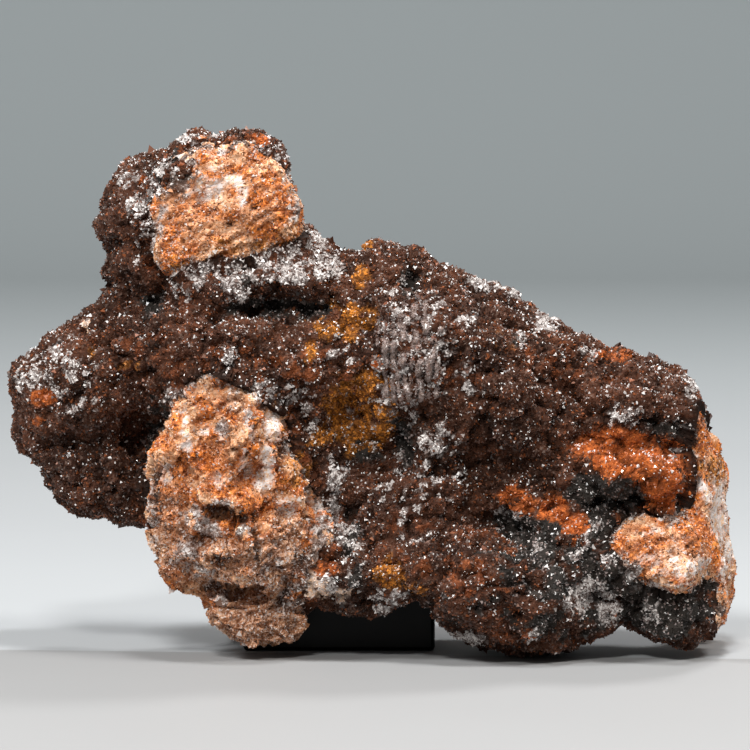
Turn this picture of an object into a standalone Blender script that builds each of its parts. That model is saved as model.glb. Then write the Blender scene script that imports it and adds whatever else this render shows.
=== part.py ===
"""Drusy quartz on barite: a hand specimen that rests on a low black display block.

The barite is a group of tabular crystals, broken at the front, the top, the right and the back.
The quartz is the lumpy crust that grew over it. +X is the viewer's right, -Y faces the viewer
and +Z is up. Lengths here are in millimetres, and MM turns them into Blender's metres.
"""

import math

import bmesh
import bpy
import numpy as np
from mathutils import Vector, kdtree, noise

MM = 0.001

# The display block under the specimen
BLOCK_LOW = (-16.0, -3.0, 0.0)
BLOCK_HIGH = (8.0, 17.0, 7.0)
BLOCK_BEVEL = 0.5
RESTING_GAP = 0.3

# Outlines are drawn as seen from this far away, from this height and at this slope downwards,
# and what is drawn at depth 0 lies this much lower
VIEW_DISTANCE = 800.0
VIEW_HEIGHT = 34.6
VIEW_SLOPE = 0.07
VIEW_DROP = 0.5

# The quartz crust, seen from the front, as (x, z) clockwise from the top of the knob
QUARTZ_OUTLINE = [
    (-16.5, 66.1), (-13.8, 64.9), (-11.6, 62.5), (-10.0, 58.5), (-9.7, 55.3), (-7.8, 52.7),
    (-4.8, 50.8), (-1.7, 49.8), (1.0, 50.9), (3.4, 51.3), (6.7, 49.6), (10.2, 48.1), (12.7, 46.3),
    (16.6, 45.7), (19.6, 43.5), (23.1, 41.3), (26.6, 39.1), (30.7, 37.5), (33.8, 37.1),
    (37.1, 35.7), (40.2, 33.8), (41.2, 31.6), (40.8, 28.0), (40.5, 22.0), (41.0, 14.5),
    (42.0, 8.0), (43.0, 4.2), (41.7, 1.8), (38.8, 1.0), (35.3, 2.1), (31.8, 3.8), (29.0, 3.0),
    (27.0, 1.4), (24.0, 0.2), (21.0, -0.3), (18.5, 0.0), (14.0, 0.7), (11.0, 2.0), (9.6, 4.2),
    (7.2, 6.4), (4.5, 6.9), (2.4, 5.6), (0.3, 4.8), (-2.3, 4.8), (-5.0, 6.2), (-8.2, 6.0),
    (-13.0, 8.5), (-19.0, 10.5), (-23.0, 13.0), (-26.5, 16.2), (-30.0, 16.9), (-33.5, 17.0),
    (-36.9, 17.7), (-40.0, 21.0), (-41.6, 25.0), (-44.0, 26.2), (-44.6, 29.0), (-44.4, 31.5),
    (-45.8, 34.4), (-45.1, 36.2), (-41.6, 38.3), (-39.5, 40.3), (-37.0, 41.3), (-35.2, 43.3),
    (-33.0, 44.8),
    (-30.6, 45.4), (-33.4, 48.4), (-33.0, 50.0), (-31.6, 51.2), (-33.6, 53.0), (-33.4, 55.0),
    (-32.8, 58.0),
    (-31.6, 60.0), (-28.2, 62.0), (-25.8, 63.8), (-23.7, 65.4), (-20.5, 65.2),
]
QUARTZ_FRONT = 11.5
QUARTZ_BACK = 14.5
QUARTZ_RIM = 8.5
QUARTZ_WAVES = (11.0, 4.0)  # wavelength and rise of the broad unevenness

# Relief of the crust as (x, z, half width, half height, turn in degrees, height towards the viewer)
FRONT_RELIEF = [
    (-17.3, 56.4, 10.4, 8.6, 8, -4.6),  # dish for the knob's broken face
    (-30.6, 54.0, 2.8, 8.0, 0, 3.2),  # collar left of the face
    (-12.0, 47.4, 9.5, 1.5, 4, 3.0),  # pale sill under the face
    (-11.5, 44.2, 7.5, 1.7, -4, -8.5),  # groove under the knob
    (-20.0, 44.0, 6.0, 1.2, 6, -3.0),  # its shallow end
    (-27.0, 44.0, 2.6, 1.7, 20, -7.5),  # dark notch behind the knob's left foot
    (-36.0, 34.0, 6.0, 6.0, 0, 2.2),  # swell of the left arm
    (-34.5, 22.5, 5.0, 3.5, 0, 1.8),  # its lower knob
    (-37.0, 27.4, 6.0, 1.5, 12, -3.0),  # crease across the left arm
    (-27.2, 26.5, 3.2, 8.0, 8, -10.0),  # recess between the left arm and the front mass
    (-12.0, 38.0, 8.5, 3.3, -20, 3.2),  # shelf over the front mass
    (-1.4, 29.4, 4.2, 5.6, -12, -8.5),  # ochre pit
    (4.0, 26.6, 1.8, 3.4, 12, -7.5),  # black cleft at the pit's right
    (4.2, 37.8, 4.8, 7.2, -8, 5.2),  # ribbed slab over the pit
    (5.2, 46.6, 1.6, 1.6, 0, -6.0),  # small hole under the crest
    (14.5, 34.5, 8.0, 7.5, 0, 3.0),  # central swell
    (8.2, 27.6, 4.2, 2.8, -15, 3.6),  # grey knob below the ribbed slab
    (5.5, 20.0, 4.6, 5.2, 0, 4.2),  # cluster of knobs
    (16.6, 16.6, 5.4, 1.8, -4, -8.5),  # cave over the lower front
    (16.0, 9.0, 9.0, 6.5, 0, 4.0),  # lower front swell
    (29.5, 19.4, 5.5, 3.0, 20, -5.0),  # black hollow over the ledge
    (27.6, 11.8, 2.6, 5.0, 15, -4.0),  # black hollow left of the ledge
    (34.0, 7.6, 8.0, 2.8, 0, -6.0),  # black hollow under the ledge
    (24.6, 16.4, 3.8, 2.8, -12, 5.5),  # orange step beside the cave
    (17.4, 19.6, 2.8, 1.3, -15, 3.0),  # smaller step over the cave
    (36.5, 31.4, 5.6, 3.4, -20, 4.0),  # knobs at the upper right
    (31.0, 27.4, 7.0, 1.4, -8, -4.0),  # crease below those knobs
    (31.0, 23.8, 7.6, 2.4, -6, 2.8),  # orange band
    (38.0, 4.5, 4.5, 3.5, 0, 2.2),  # right foot
    (-2.8, 14.0, 1.2, 6.0, 4, -4.0),  # slit beside the front mass
    (1.0, 9.0, 3.0, 3.0, 0, -2.0),  # hollow over the block
    (24.5, 33.5, 5.0, 1.2, -28, -1.8),  # crease on the right slope
    (15.0, 25.3, 6.0, 1.1, -12, -2.0),  # crease above the cave
]
BACK_RELIEF = [
    (-36.0, 31.0, 11.0, 11.0, 0, -6.0),  # the left arm is thin behind
    (-16.0, 41.0, 16.0, 1.8, -8, -4.0),  # groove round the knob's neck
    (-21.0, 57.0, 12.0, 9.0, 0, -5.0),  # the knob is thinner than the body
    (28.0, 30.0, 7.0, 8.0, -35, 3.0),  # swell behind the right shoulder
    (-10.0, 27.0, 5.0, 8.0, 10, 3.5),  # ridge beside the broken face
    (33.0, 12.0, 7.0, 5.0, 0, -3.0),  # hollow behind the ledge
    (14.0, 44.0, 9.0, 2.4, -22, 2.5),  # crest
    (-24.0, 21.0, 6.0, 4.0, -30, -3.5),  # hollow behind the front mass
    (20.0, 8.0, 9.0, 2.5, 0, -3.5),  # undercut at the foot
]

# Barite masses that show through the crust: their front outlines as (x, z)
FRONT_MASS = [
    (-19.3, 36.2), (-16.5, 35.6), (-13.3, 32.0), (-10.8, 28.6), (-9.5, 23.8), (-6.2, 19.4),
    (-4.3, 15.0), (-4.7, 11.3), (-7.5, 8.3), (-8.4, 5.2), (-9.3, 1.6), (-12.7, 0.7),
    (-17.6, 1.8), (-20.9, 4.6), (-21.7, 7.4), (-24.2, 7.0), (-26.3, 9.4), (-26.5, 12.6),
    (-27.5, 16.4), (-27.5, 20.0), (-28.0, 23.9), (-26.7, 26.2), (-24.6, 27.6), (-24.4, 31.4),
    (-22.6, 34.4),
]
KNOB_FACE = [
    (-27.4, 58.0), (-28.1, 55.6), (-27.0, 53.0), (-26.9, 50.8), (-25.2, 48.2), (-23.6, 46.4),
    (-22.2, 48.2), (-20.0, 48.4), (-18.9, 49.6), (-16.6, 48.7), (-14.2, 50.1), (-12.0, 50.0),
    (-10.4, 51.8), (-7.8, 52.2), (-9.2, 54.6), (-8.9, 57.0), (-10.4, 58.6), (-10.9, 61.2),
    (-13.2, 62.0), (-15.2, 64.0), (-18.6, 63.2), (-20.8, 64.3), (-22.4, 62.2), (-24.8, 61.6),
    (-25.4, 59.4),
]
LEDGE = [
    (29.4, 13.6), (31.3, 15.6), (33.0, 17.4), (34.9, 17.7), (37.2, 16.4), (39.2, 17.2),
    (41.4, 16.6), (42.3, 14.8), (42.5, 12.0), (41.4, 10.6), (41.0, 8.7), (38.0, 8.1),
    (35.4, 9.0), (33.3, 10.6), (31.4, 11.0), (30.6, 12.2),
]
RIGHT_STRIP = [
    (41.2, 31.6), (42.0, 30.2), (42.3, 25.0), (42.8, 20.0), (44.0, 13.0), (45.0, 8.5),
    (45.2, 5.5), (43.9, 2.7), (42.8, 4.0), (42.4, 9.0), (41.6, 16.0), (40.4, 22.0), (40.4, 28.0),
]
MIDDLE_PLATE = [
    (40.5, 27.5), (42.4, 26.4), (43.4, 24.8), (44.4, 22.6), (44.4, 17.5), (44.8, 13.0),
    (45.4, 9.0), (43.0, 6.5), (40.0, 7.0), (39.0, 16.0), (39.5, 24.0),
]
BACK_PLATE = [
    (41.0, 24.5), (43.4, 25.0), (44.8, 22.5), (45.0, 18.0), (45.2, 14.5), (45.9, 11.2),
    (45.7, 7.6), (44.8, 4.8), (42.0, 4.0), (39.0, 6.0), (38.0, 15.0), (39.0, 22.0),
]

# Flat cleavage faces of the front mass, as (x, z, height over the others, rise per mm right, per mm up).
# Each point of the mass belongs to the nearest face, so the faces meet in steps.
FRONT_MASS_FACES = [
    (-19.5, 31.5, -1.8, 0.10, -0.32),
    (-15.5, 27.0, 1.4, -0.15, -0.10),
    (-21.5, 25.5, -0.8, 0.20, -0.08),
    (-12.0, 22.0, -1.0, -0.30, 0.05),
    (-24.8, 20.5, -3.0, 0.35, 0.05),
    (-18.0, 21.0, 1.9, 0.05, 0.10),
    (-9.2, 17.0, -2.4, -0.25, 0.10),
    (-21.5, 14.0, -1.0, 0.25, 0.20),
    (-14.5, 14.2, 2.2, 0.02, 0.12),
    (-11.0, 10.5, 0.6, -0.20, 0.00),
    (-17.8, 11.0, 0.2, 0.20, 0.10),
    (-6.8, 12.5, -3.4, -0.25, 0.10),
    (-22.8, 10.0, -3.0, 0.25, 0.10),
    (-16.5, 5.0, 1.0, 0.15, 0.15),
    (-11.5, 4.0, -0.6, -0.15, 0.10),
]

# Clefts of the front mass, as in FRONT_RELIEF
FRONT_MASS_RELIEF = [
    (-18.0, 18.2, 4.6, 0.9, -6, -5.5),  # dark cleft across the middle
    (-16.0, 8.6, 4.4, 0.9, -5, -6.5),  # cleft over the toe
    (-13.9, 16.2, 0.6, 2.4, 4, -3.0),  # crack up from the lower block
    (-22.6, 22.5, 0.7, 3.6, -12, -2.5),  # crack on the left
    (-8.3, 6.2, 1.4, 2.2, 0, -2.5),  # chipped corner of the toe
]
KNOB_RELIEF = [
    (-18.0, 62.5, 7.0, 2.0, 0, -2.0),  # the top leans back
    (-21.0, 57.5, 2.8, 1.4, 0, -1.3),  # chip with a white floor
    (-24.0, 49.0, 3.0, 3.0, 0, 1.3),  # lower corner
    (-13.0, 56.0, 3.0, 3.0, 30, 0.9),  # step on the right
]
LEDGE_RELIEF = [
    (38.0, 10.5, 4.0, 2.0, -15, 1.8),  # lip
    (33.0, 15.5, 3.0, 1.6, 20, -1.5),  # slope behind the lip
]

# Barite tables inside: centre, size and turn about the viewing axis, in degrees
INNER_TABLES = [
    ((11.0, 1.5, 19.0), (66.0, 7.0, 11.0), 4.0),
    ((-17.0, 0.0, 38.0), (9.0, 8.0, 40.0), -3.0),
    ((3.0, 9.5, 24.0), (32.0, 17.0, 22.0), -9.0),
]

# Small lumps fused to the crust
LUMP_COUNT = 520
LUMP_SIZES = (1.6, 4.0)
LUMP_SPACING = 2.5
LUMP_HEIGHT = 0.6
LUMP_SINK = 0.9  # how far the crust between the lumps lies under the outline's own surface
LUMP_SPREAD = 0.45  # share of that which moves sideways or up, so that the outline holds
BARITE_ROUGHNESS = 0.7
SEED = 41

# Fineness of the meshes, and the room that the crust leaves round the barite
QUARTZ_VOXEL = 0.95
BARITE_VOXEL = 0.8
QUARTZ_TRIANGLES = 5300
BARITE_TRIANGLES = 2500
POCKET_TRIANGLES = 2300
POCKET_ROOM = 0.7
RIM_EDGE = 0.25


def clear_scene():
    for obj in list(bpy.data.objects):
        bpy.data.objects.remove(obj)


def collection_named(name):
    found = bpy.data.collections.new(name)
    bpy.context.scene.collection.children.link(found)
    return found


def material(name, colour, roughness):
    """A dielectric finish, with its colour as linear red, green and blue."""
    made = bpy.data.materials.new(name)
    made.use_nodes = True
    shader = made.node_tree.nodes["Principled BSDF"]
    shader.inputs["Base Color"].default_value = (*colour, 1.0)
    shader.inputs["Roughness"].default_value = roughness
    shader.inputs["Metallic"].default_value = 0.0
    return made


def points_of(mesh):
    """The mesh's points in millimetres, one row each."""
    flat = np.empty(len(mesh.vertices) * 3, np.float32)
    mesh.vertices.foreach_get("co", flat)
    return flat.reshape(-1, 3).astype(float) / MM


def normals_of(mesh):
    flat = np.empty(len(mesh.vertices) * 3, np.float32)
    mesh.vertices.foreach_get("normal", flat)
    return flat.reshape(-1, 3).astype(float)


def move_points(mesh, points):
    mesh.vertices.foreach_set("co", (points * MM).astype(np.float32).ravel())
    mesh.update()


def modified(mesh, kind, **settings):
    """A new mesh: this one after one of Blender's modifiers."""
    obj = bpy.data.objects.new("work", mesh)
    bpy.context.scene.collection.objects.link(obj)
    modifier = obj.modifiers.new(kind, kind)
    for name, value in settings.items():
        setattr(modifier, name, value)
    graph = bpy.context.evaluated_depsgraph_get()
    result = bpy.data.meshes.new_from_object(obj.evaluated_get(graph))
    bpy.data.objects.remove(obj)
    return result


def remeshed(mesh, voxel):
    return largest_body(modified(mesh, "REMESH", mode="VOXEL", voxel_size=voxel * MM))


def decimated(mesh, triangles):
    mesh.calc_loop_triangles()
    ratio = triangles / len(mesh.loop_triangles)
    return modified(mesh, "DECIMATE", ratio=ratio, use_collapse_triangulate=True)


def largest_body(mesh):
    """Drops the crumbs and sealed bubbles that a remesh can leave."""
    work = bmesh.new()
    work.from_mesh(mesh)
    unseen = set(work.verts)
    bodies = []
    while unseen:
        queue = [unseen.pop()]
        body = set(queue)
        while queue:
            for edge in queue.pop().link_edges:
                for vertex in edge.verts:
                    if vertex in unseen:
                        unseen.discard(vertex)
                        body.add(vertex)
                        queue.append(vertex)
        bodies.append(body)
    bodies.sort(key=len)
    crumbs = [vertex for body in bodies[:-1] for vertex in body]
    bmesh.ops.delete(work, geom=crumbs, context="VERTS")
    work.to_mesh(mesh)
    work.free()
    return mesh


def prism(outline, front, back):
    """A flat outline in the XZ plane, made as thick as the space between two depths."""
    curve = bpy.data.curves.new("outline", "CURVE")
    curve.dimensions = "2D"
    curve.fill_mode = "BOTH"
    curve.extrude = (back - front) / 2 * MM
    spline = curve.splines.new("POLY")
    spline.points.add(len(outline) - 1)
    for point, (x, z) in zip(spline.points, outline):
        point.co = (x * MM, z * MM, 0.0, 1.0)
    spline.use_cyclic_u = True
    obj = bpy.data.objects.new("outline", curve)
    bpy.context.scene.collection.objects.link(obj)
    graph = bpy.context.evaluated_depsgraph_get()
    mesh = bpy.data.meshes.new_from_object(obj.evaluated_get(graph))
    bpy.data.objects.remove(obj)
    flat = points_of(mesh)
    middle = (front + back) / 2
    move_points(mesh, np.column_stack([flat[:, 0], middle - flat[:, 2], flat[:, 1]]))
    work = bmesh.new()
    work.from_mesh(mesh)
    bmesh.ops.remove_doubles(work, verts=work.verts, dist=0.001 * MM)
    bmesh.ops.recalc_face_normals(work, faces=work.faces)
    work.to_mesh(mesh)
    work.free()
    return mesh


def rim_distance(x, z, outline):
    """How far each (x, z) is from the outline."""
    here = np.column_stack([x, z])
    nearest = np.full(len(here), np.inf)
    corners = np.array(outline)
    for start, end in zip(corners, np.roll(corners, -1, axis=0)):
        along = end - start
        share = np.clip((here - start) @ along / (along @ along), 0, 1)
        gap = here - (start + share[:, None] * along)
        nearest = np.minimum(nearest, np.hypot(gap[:, 0], gap[:, 1]))
    return nearest


def relief(x, z, features):
    """The summed height of smooth bumps and pits."""
    height = np.zeros_like(x)
    for centre_x, centre_z, half_width, half_height, turn, rise in features:
        cos, sin = math.cos(math.radians(turn)), math.sin(math.radians(turn))
        across = ((x - centre_x) * cos + (z - centre_z) * sin) / half_width
        up = ((z - centre_z) * cos - (x - centre_x) * sin) / half_height
        height += rise * np.exp(-((across**2 + up**2) ** 1.4))
    return height


def ramp(values, start, end):
    share = np.clip((values - start) / (end - start), 0, 1)
    return share * share * (3 - 2 * share)


def true_place(x, z, depth):
    """Where a drawn (x, z) is, for something that lies this deep."""
    scale = 1 + depth / VIEW_DISTANCE
    return x * scale, (z - VIEW_HEIGHT) * scale + VIEW_HEIGHT - VIEW_SLOPE * depth - VIEW_DROP


def swollen(outline, middle, front, back, rim, voxel):
    """An outline blown up to a stone: middle, front and back give depths at (x, z)."""
    half = 10.0
    mesh = remeshed(prism(outline, -half, half), voxel)
    points = points_of(mesh)
    x, y, z = points.T
    inside = rim_distance(x, z, outline) + RIM_EDGE
    rise = np.sqrt(1 - (1 - np.clip(inside / rim, 0, 1)) ** 2)
    share = np.clip(y / half, -1, 1)
    depth = np.where(share < 0, front(x, z), back(x, z))
    y = middle(x, z) + share * depth * rise
    x, z = true_place(x, z, middle(x, z))
    move_points(mesh, np.column_stack([x, y, z]))
    return mesh


def quartz_middle(x, z):
    """The left arm and the knob lie back, and the foot comes forward."""
    lean = 6.0 * ramp(-x, 20, 38) + 2.5 * ramp(z, 40, 56)
    return lean - 10.0 * ramp(-z, -21, -6) * ramp(x, -24, -14)


def waves(x, z, level):
    """Broad unevenness. level picks a different one for each side."""
    length, rise = QUARTZ_WAVES
    return np.array([rise * noise.noise(Vector((a / length, level, b / length))) for a, b in zip(x, z)])


def quartz_front(x, z):
    return QUARTZ_FRONT + relief(x, z, FRONT_RELIEF) - 5.0 * ramp(-z, -14, -5) + waves(x, z, 3.0)


def quartz_back(x, z):
    return QUARTZ_BACK + relief(x, z, BACK_RELIEF) + 5.0 * ramp(-z, -22, -9) + waves(x, z, 9.0)


def lump_centres(points, rng):
    """Points of the surface in random order, thinned so that no two lumps crowd each other."""
    tree = kdtree.KDTree(LUMP_COUNT)
    chosen = []
    for index in rng.permutation(len(points)):
        if len(chosen) == LUMP_COUNT:
            break
        if chosen:
            tree.balance()
            if tree.find(points[index])[2] < LUMP_SPACING:
                continue
        tree.insert(points[index], len(chosen))
        chosen.append(index)
    return chosen


def add_lumps(mesh, rng):
    """Raises a round lump at each centre, and keeps the highest where lumps meet."""
    points, normals = points_of(mesh), normals_of(mesh)
    tree = kdtree.KDTree(len(points))
    for index, point in enumerate(points):
        tree.insert(point, index)
    tree.balance()
    height = np.zeros(len(points))
    for centre in lump_centres(points, rng):
        radius = rng.uniform(*LUMP_SIZES)
        for _, index, gap in tree.find_range(points[centre], radius):
            rise = LUMP_HEIGHT * radius * math.sqrt(1 - (gap / radius) ** 2)
            height[index] = max(height[index], rise)
    spread = np.array([LUMP_SPREAD, 1.0, LUMP_SPREAD])
    move_points(mesh, points + normals * spread * (height - LUMP_SINK)[:, None])


def roughen(mesh, wavelength, rise):
    """Breaks a smooth surface up with cell noise, which leaves facets and edges."""
    points, normals = points_of(mesh), normals_of(mesh)
    height = [
        noise.cell(Vector(p) / wavelength) * 0.5
        + noise.noise(Vector(p) / (wavelength * 2)) * 1.2
        + noise.ridged_multi_fractal(Vector(p) / (wavelength * 3), 1.0, 2.0, 3, 1.0, 2.0) * 0.25
        for p in points
    ]
    move_points(mesh, points + normals * (np.array(height) * rise)[:, None])


def box_mesh(centre, size, turn):
    """A box in millimetres, turned about the viewing axis."""
    mesh = bpy.data.meshes.new("box")
    work = bmesh.new()
    bmesh.ops.create_cube(work, size=1.0)
    work.to_mesh(mesh)
    work.free()
    x, y, z = (points_of(mesh) * MM * np.array(size)).T
    cos, sin = math.cos(math.radians(turn)), math.sin(math.radians(turn))
    move_points(mesh, np.column_stack([x * cos - z * sin, y, x * sin + z * cos]) + np.array(centre))
    return mesh


def joined(meshes):
    """Several overlapping meshes in one, before a remesh makes them one body."""
    work = bmesh.new()
    for mesh in meshes:
        work.from_mesh(mesh)
    result = bpy.data.meshes.new("joined")
    work.to_mesh(result)
    work.free()
    return result


def mass(outline, middle, front, back, features, rim, tilt):
    """One of the barite masses. tilt is how far its face leans back for each millimetre up."""
    low = min(z for _, z in outline)

    def depth(x, z):
        return front + relief(x, z, features) - tilt * (z - low)

    return swollen(
        outline,
        lambda x, z: np.full_like(x, middle),
        depth,
        lambda x, z: np.full_like(x, back),
        rim,
        BARITE_VOXEL,
    )


def faceted(x, z, faces):
    """The height of flat faces, each of which rules the points that it is nearest to."""
    tables = np.array(faces)
    gap = np.hypot(x[:, None] - tables[:, 0], z[:, None] - tables[:, 1])
    own = tables[gap.argmin(axis=1)]
    return own[:, 2] + own[:, 3] * (x - own[:, 0]) + own[:, 4] * (z - own[:, 1])


def front_mass():
    """The broken mass at the front, whose toe stands clear of the block."""

    def middle(x, z):
        return -8.5 - 2.0 * ramp(-z, -11.5, -8.0)

    def front(x, z):
        toe = ramp(-z, -11.5, -8.0)
        steps = faceted(x, z, FRONT_MASS_FACES) + relief(x, z, FRONT_MASS_RELIEF)
        return 9.4 * (1 - toe) + 4.0 * toe + steps

    def back(x, z):
        toe = ramp(-z, -11.5, -8.0)
        return 9.0 * (1 - toe) + 3.8 * toe

    return swollen(FRONT_MASS, middle, front, back, 1.6, BARITE_VOXEL)


def right_end():
    """The broken right end: three cleavage plates, each a step further right and back."""
    strip = prism(RIGHT_STRIP, -10.5, -2.0)
    middle = prism(MIDDLE_PLATE, -5.0, 6.0)
    back = prism(BACK_PLATE, 3.0, 13.0)
    for mesh, slant in ((strip, 0.08), (middle, 0.12), (back, 0.06)):
        x, y, z = points_of(mesh).T
        x, z = true_place(x + slant * (y - y.max()), z, y.mean())
        move_points(mesh, np.column_stack([x, y, z]))
    return [strip, middle, back]


def barite_mesh():
    """All the barite as one fine mesh."""
    pieces = [
        front_mass(),
        mass(KNOB_FACE, 0.5, 9.6, 8.0, KNOB_RELIEF, 1.2, 0.10),
        mass(LEDGE, -9.5, 10.0, 8.0, LEDGE_RELIEF, 2.0, 0.30),
        *right_end(),
        *[box_mesh(*table) for table in INNER_TABLES],
    ]
    fine = remeshed(joined(pieces), BARITE_VOXEL)
    roughen(fine, 2.6, BARITE_ROUGHNESS)
    points = points_of(fine)
    points[:, 2] = np.maximum(points[:, 2], 0.35)
    move_points(fine, points)
    return remeshed(fine, BARITE_VOXEL)


def quartz_mesh():
    """The whole form of the crust, before the barite's pocket is cut out of it."""
    rng = np.random.default_rng(SEED)
    fine = swollen(
        QUARTZ_OUTLINE, quartz_middle, quartz_front, quartz_back, QUARTZ_RIM, QUARTZ_VOXEL
    )
    fine = remeshed(fine, QUARTZ_VOXEL)
    add_lumps(fine, rng)
    roughen(fine, 3.4, 0.35)
    move_points(fine, above_block(points_of(fine)))
    return remeshed(fine, QUARTZ_VOXEL)


def above_block(points):
    """Lifts what would sink into the block, and keeps the feet on the ground."""
    (low_x, low_y, _), (high_x, high_y, top) = BLOCK_LOW, BLOCK_HIGH
    x, y, z = points.T
    margin = 0.8
    over = (x > low_x - margin) & (x < high_x + margin) & (y > low_y - margin) & (y < high_y + margin)
    floor = np.where(over, top + RESTING_GAP, 0.3)
    return np.column_stack([x, y, np.maximum(z, floor)])


def grown(mesh, by, triangles):
    """The mesh moved outwards all over, as a cutter that leaves room round it."""
    wide = mesh.copy()
    move_points(wide, points_of(wide) + normals_of(wide) * by)
    return decimated(remeshed(wide, BARITE_VOXEL), triangles)


def place(name, mesh, home, finish=None):
    obj = bpy.data.objects.new(name, mesh)
    home.objects.link(obj)
    if finish:
        mesh.materials.clear()
        mesh.materials.append(finish)
    return obj


def cut(obj, cutter):
    modifier = obj.modifiers.new("cut for " + cutter.name, "BOOLEAN")
    modifier.operation = "DIFFERENCE"
    modifier.solver = "EXACT"
    modifier.object = cutter


def display_block(home, finish):
    low, high = np.array(BLOCK_LOW), np.array(BLOCK_HIGH)
    block = place("display_block", box_mesh((low + high) / 2, high - low, 0.0), home, finish)
    bevel = block.modifiers.new("eased edges", "BEVEL")
    bevel.width = BLOCK_BEVEL * MM
    bevel.segments = 2
    return block


def block_room(home):
    """The block with the resting gap all round it, open below."""
    low, high = np.array(BLOCK_LOW), np.array(BLOCK_HIGH)
    gap = RESTING_GAP
    size = high - low + np.array([2 * gap, 2 * gap, gap + 5.0])
    centre = (low + high) / 2 + np.array([0.0, 0.0, (gap - 5.0) / 2])
    return place("block_room", box_mesh(centre, size, 0.0), home)


def keep_one_body(obj):
    """Applies the cuts and drops the chips that they set free."""
    graph = bpy.context.evaluated_depsgraph_get()
    mesh = bpy.data.meshes.new_from_object(obj.evaluated_get(graph))
    obj.modifiers.clear()
    obj.data = largest_body(mesh)


def centre_on_origin(objects):
    """Puts the origin under the middle of the whole thing, at the level that it stands on."""
    bpy.context.view_layer.update()
    corners = np.vstack([points_of(obj.data) for obj in objects])
    low, high = corners.min(axis=0), corners.max(axis=0)
    shift = np.array([(low[0] + high[0]) / 2, (low[1] + high[1]) / 2, low[2]])
    for obj in objects:
        move_points(obj.data, points_of(obj.data) - shift)


def build():
    clear_scene()
    home = collection_named("drusy quartz on barite")
    cutters = collection_named("cutters")
    fine_barite = barite_mesh()
    barite = place(
        "barite_matrix",
        decimated(fine_barite, BARITE_TRIANGLES),
        home,
        material("iron-stained barite", (0.42, 0.16, 0.05), 0.75),
    )
    quartz = place(
        "quartz_druse",
        decimated(quartz_mesh(), QUARTZ_TRIANGLES),
        home,
        material("brown drusy quartz", (0.07, 0.032, 0.02), 0.35),
    )
    block = display_block(home, material("black block", (0.004, 0.004, 0.004), 0.4))
    pocket = place("barite_pocket", grown(fine_barite, POCKET_ROOM, POCKET_TRIANGLES), cutters)
    room = block_room(cutters)
    for cutter in (pocket, room):
        cutter.hide_render = True
        cutter.display_type = "WIRE"
    cut(quartz, pocket)
    cut(quartz, room)
    cut(barite, room)
    keep_one_body(quartz)
    keep_one_body(barite)
    centre_on_origin([quartz, barite, block])


build()
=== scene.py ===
"""Dresses the drusy quartz on barite specimen and sets up its studio.

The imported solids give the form. This file grows the fine crust, the crystals and the ribs on it,
breaks up the barite, and gives each piece its finish. Lengths in the tables and functions are in
millimetres, in the frame of the solids: +X is the viewer's right, -Y faces the viewer, +Z is up.
"""

import math
from typing import NamedTuple

import bmesh
import bpy
import numpy as np
from bpy.props import FloatProperty, FloatVectorProperty, IntProperty, PointerProperty
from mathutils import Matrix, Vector, kdtree, noise
from mathutils.bvhtree import BVHTree


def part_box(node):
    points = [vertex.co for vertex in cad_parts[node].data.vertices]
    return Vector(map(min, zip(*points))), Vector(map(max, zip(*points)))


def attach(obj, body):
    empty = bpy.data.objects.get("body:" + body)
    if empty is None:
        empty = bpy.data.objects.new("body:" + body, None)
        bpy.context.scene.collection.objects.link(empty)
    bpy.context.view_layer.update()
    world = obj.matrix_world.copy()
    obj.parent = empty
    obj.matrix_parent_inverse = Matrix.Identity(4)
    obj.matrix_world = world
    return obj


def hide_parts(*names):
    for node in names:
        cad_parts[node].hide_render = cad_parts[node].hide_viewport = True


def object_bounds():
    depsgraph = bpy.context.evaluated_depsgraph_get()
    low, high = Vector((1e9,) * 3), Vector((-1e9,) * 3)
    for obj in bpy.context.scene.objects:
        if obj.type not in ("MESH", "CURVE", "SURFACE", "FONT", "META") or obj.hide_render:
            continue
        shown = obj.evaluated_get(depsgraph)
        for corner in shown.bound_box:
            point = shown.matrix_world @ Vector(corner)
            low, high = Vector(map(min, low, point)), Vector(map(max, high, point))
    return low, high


bl_info = {
    "name": "Drusy Quartz on Barite",
    "version": (1, 0, 0),
    "blender": (4, 5, 0),
    "location": "View3D > Sidebar > Specimen",
    "description": "Grows the crust, crystals and finishes of a quartz on barite specimen",
    "category": "Object",
}

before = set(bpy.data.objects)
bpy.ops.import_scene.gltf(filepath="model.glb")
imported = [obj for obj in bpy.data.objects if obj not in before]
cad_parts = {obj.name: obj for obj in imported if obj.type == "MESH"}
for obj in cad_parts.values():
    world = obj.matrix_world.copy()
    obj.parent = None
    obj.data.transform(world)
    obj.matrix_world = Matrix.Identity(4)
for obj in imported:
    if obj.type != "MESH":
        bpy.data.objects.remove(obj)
CAD_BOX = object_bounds()

MM = 0.001
BODY = "root"

BOX_LOW, BOX_HIGH = (np.array(corner) / MM for corner in CAD_BOX)
BOX_MARGIN = 0.02  # how far everything stays inside the solids' box
RELIEF_ROOM = 0.75  # how near the box the relief starts to sink

# Outlines and places are drawn as the solids' own are: as seen from this far away, from this
# height and at this slope downwards, with what is drawn at depth 0 this much lower.
VIEW_DISTANCE = 800.0
VIEW_HEIGHT = 34.6
VIEW_SLOPE = 0.07
VIEW_DROP = 0.5

# The block's lowest corner as drawn, which ties the drawing to the frame
DRAWN_CORNER = np.array((-16.0, -3.0, 0.0))
FRAME_SHIFT = np.array(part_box("display_block")[0]) / MM - DRAWN_CORNER

# Depths that the places below reach: middle and half
IN_FRONT = (-9.0, 14.0)
ON_ARM = (-1.0, 1.8)
BEHIND = (18.0, 9.0)
THROUGHOUT = (0.0, 30.0)

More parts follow.
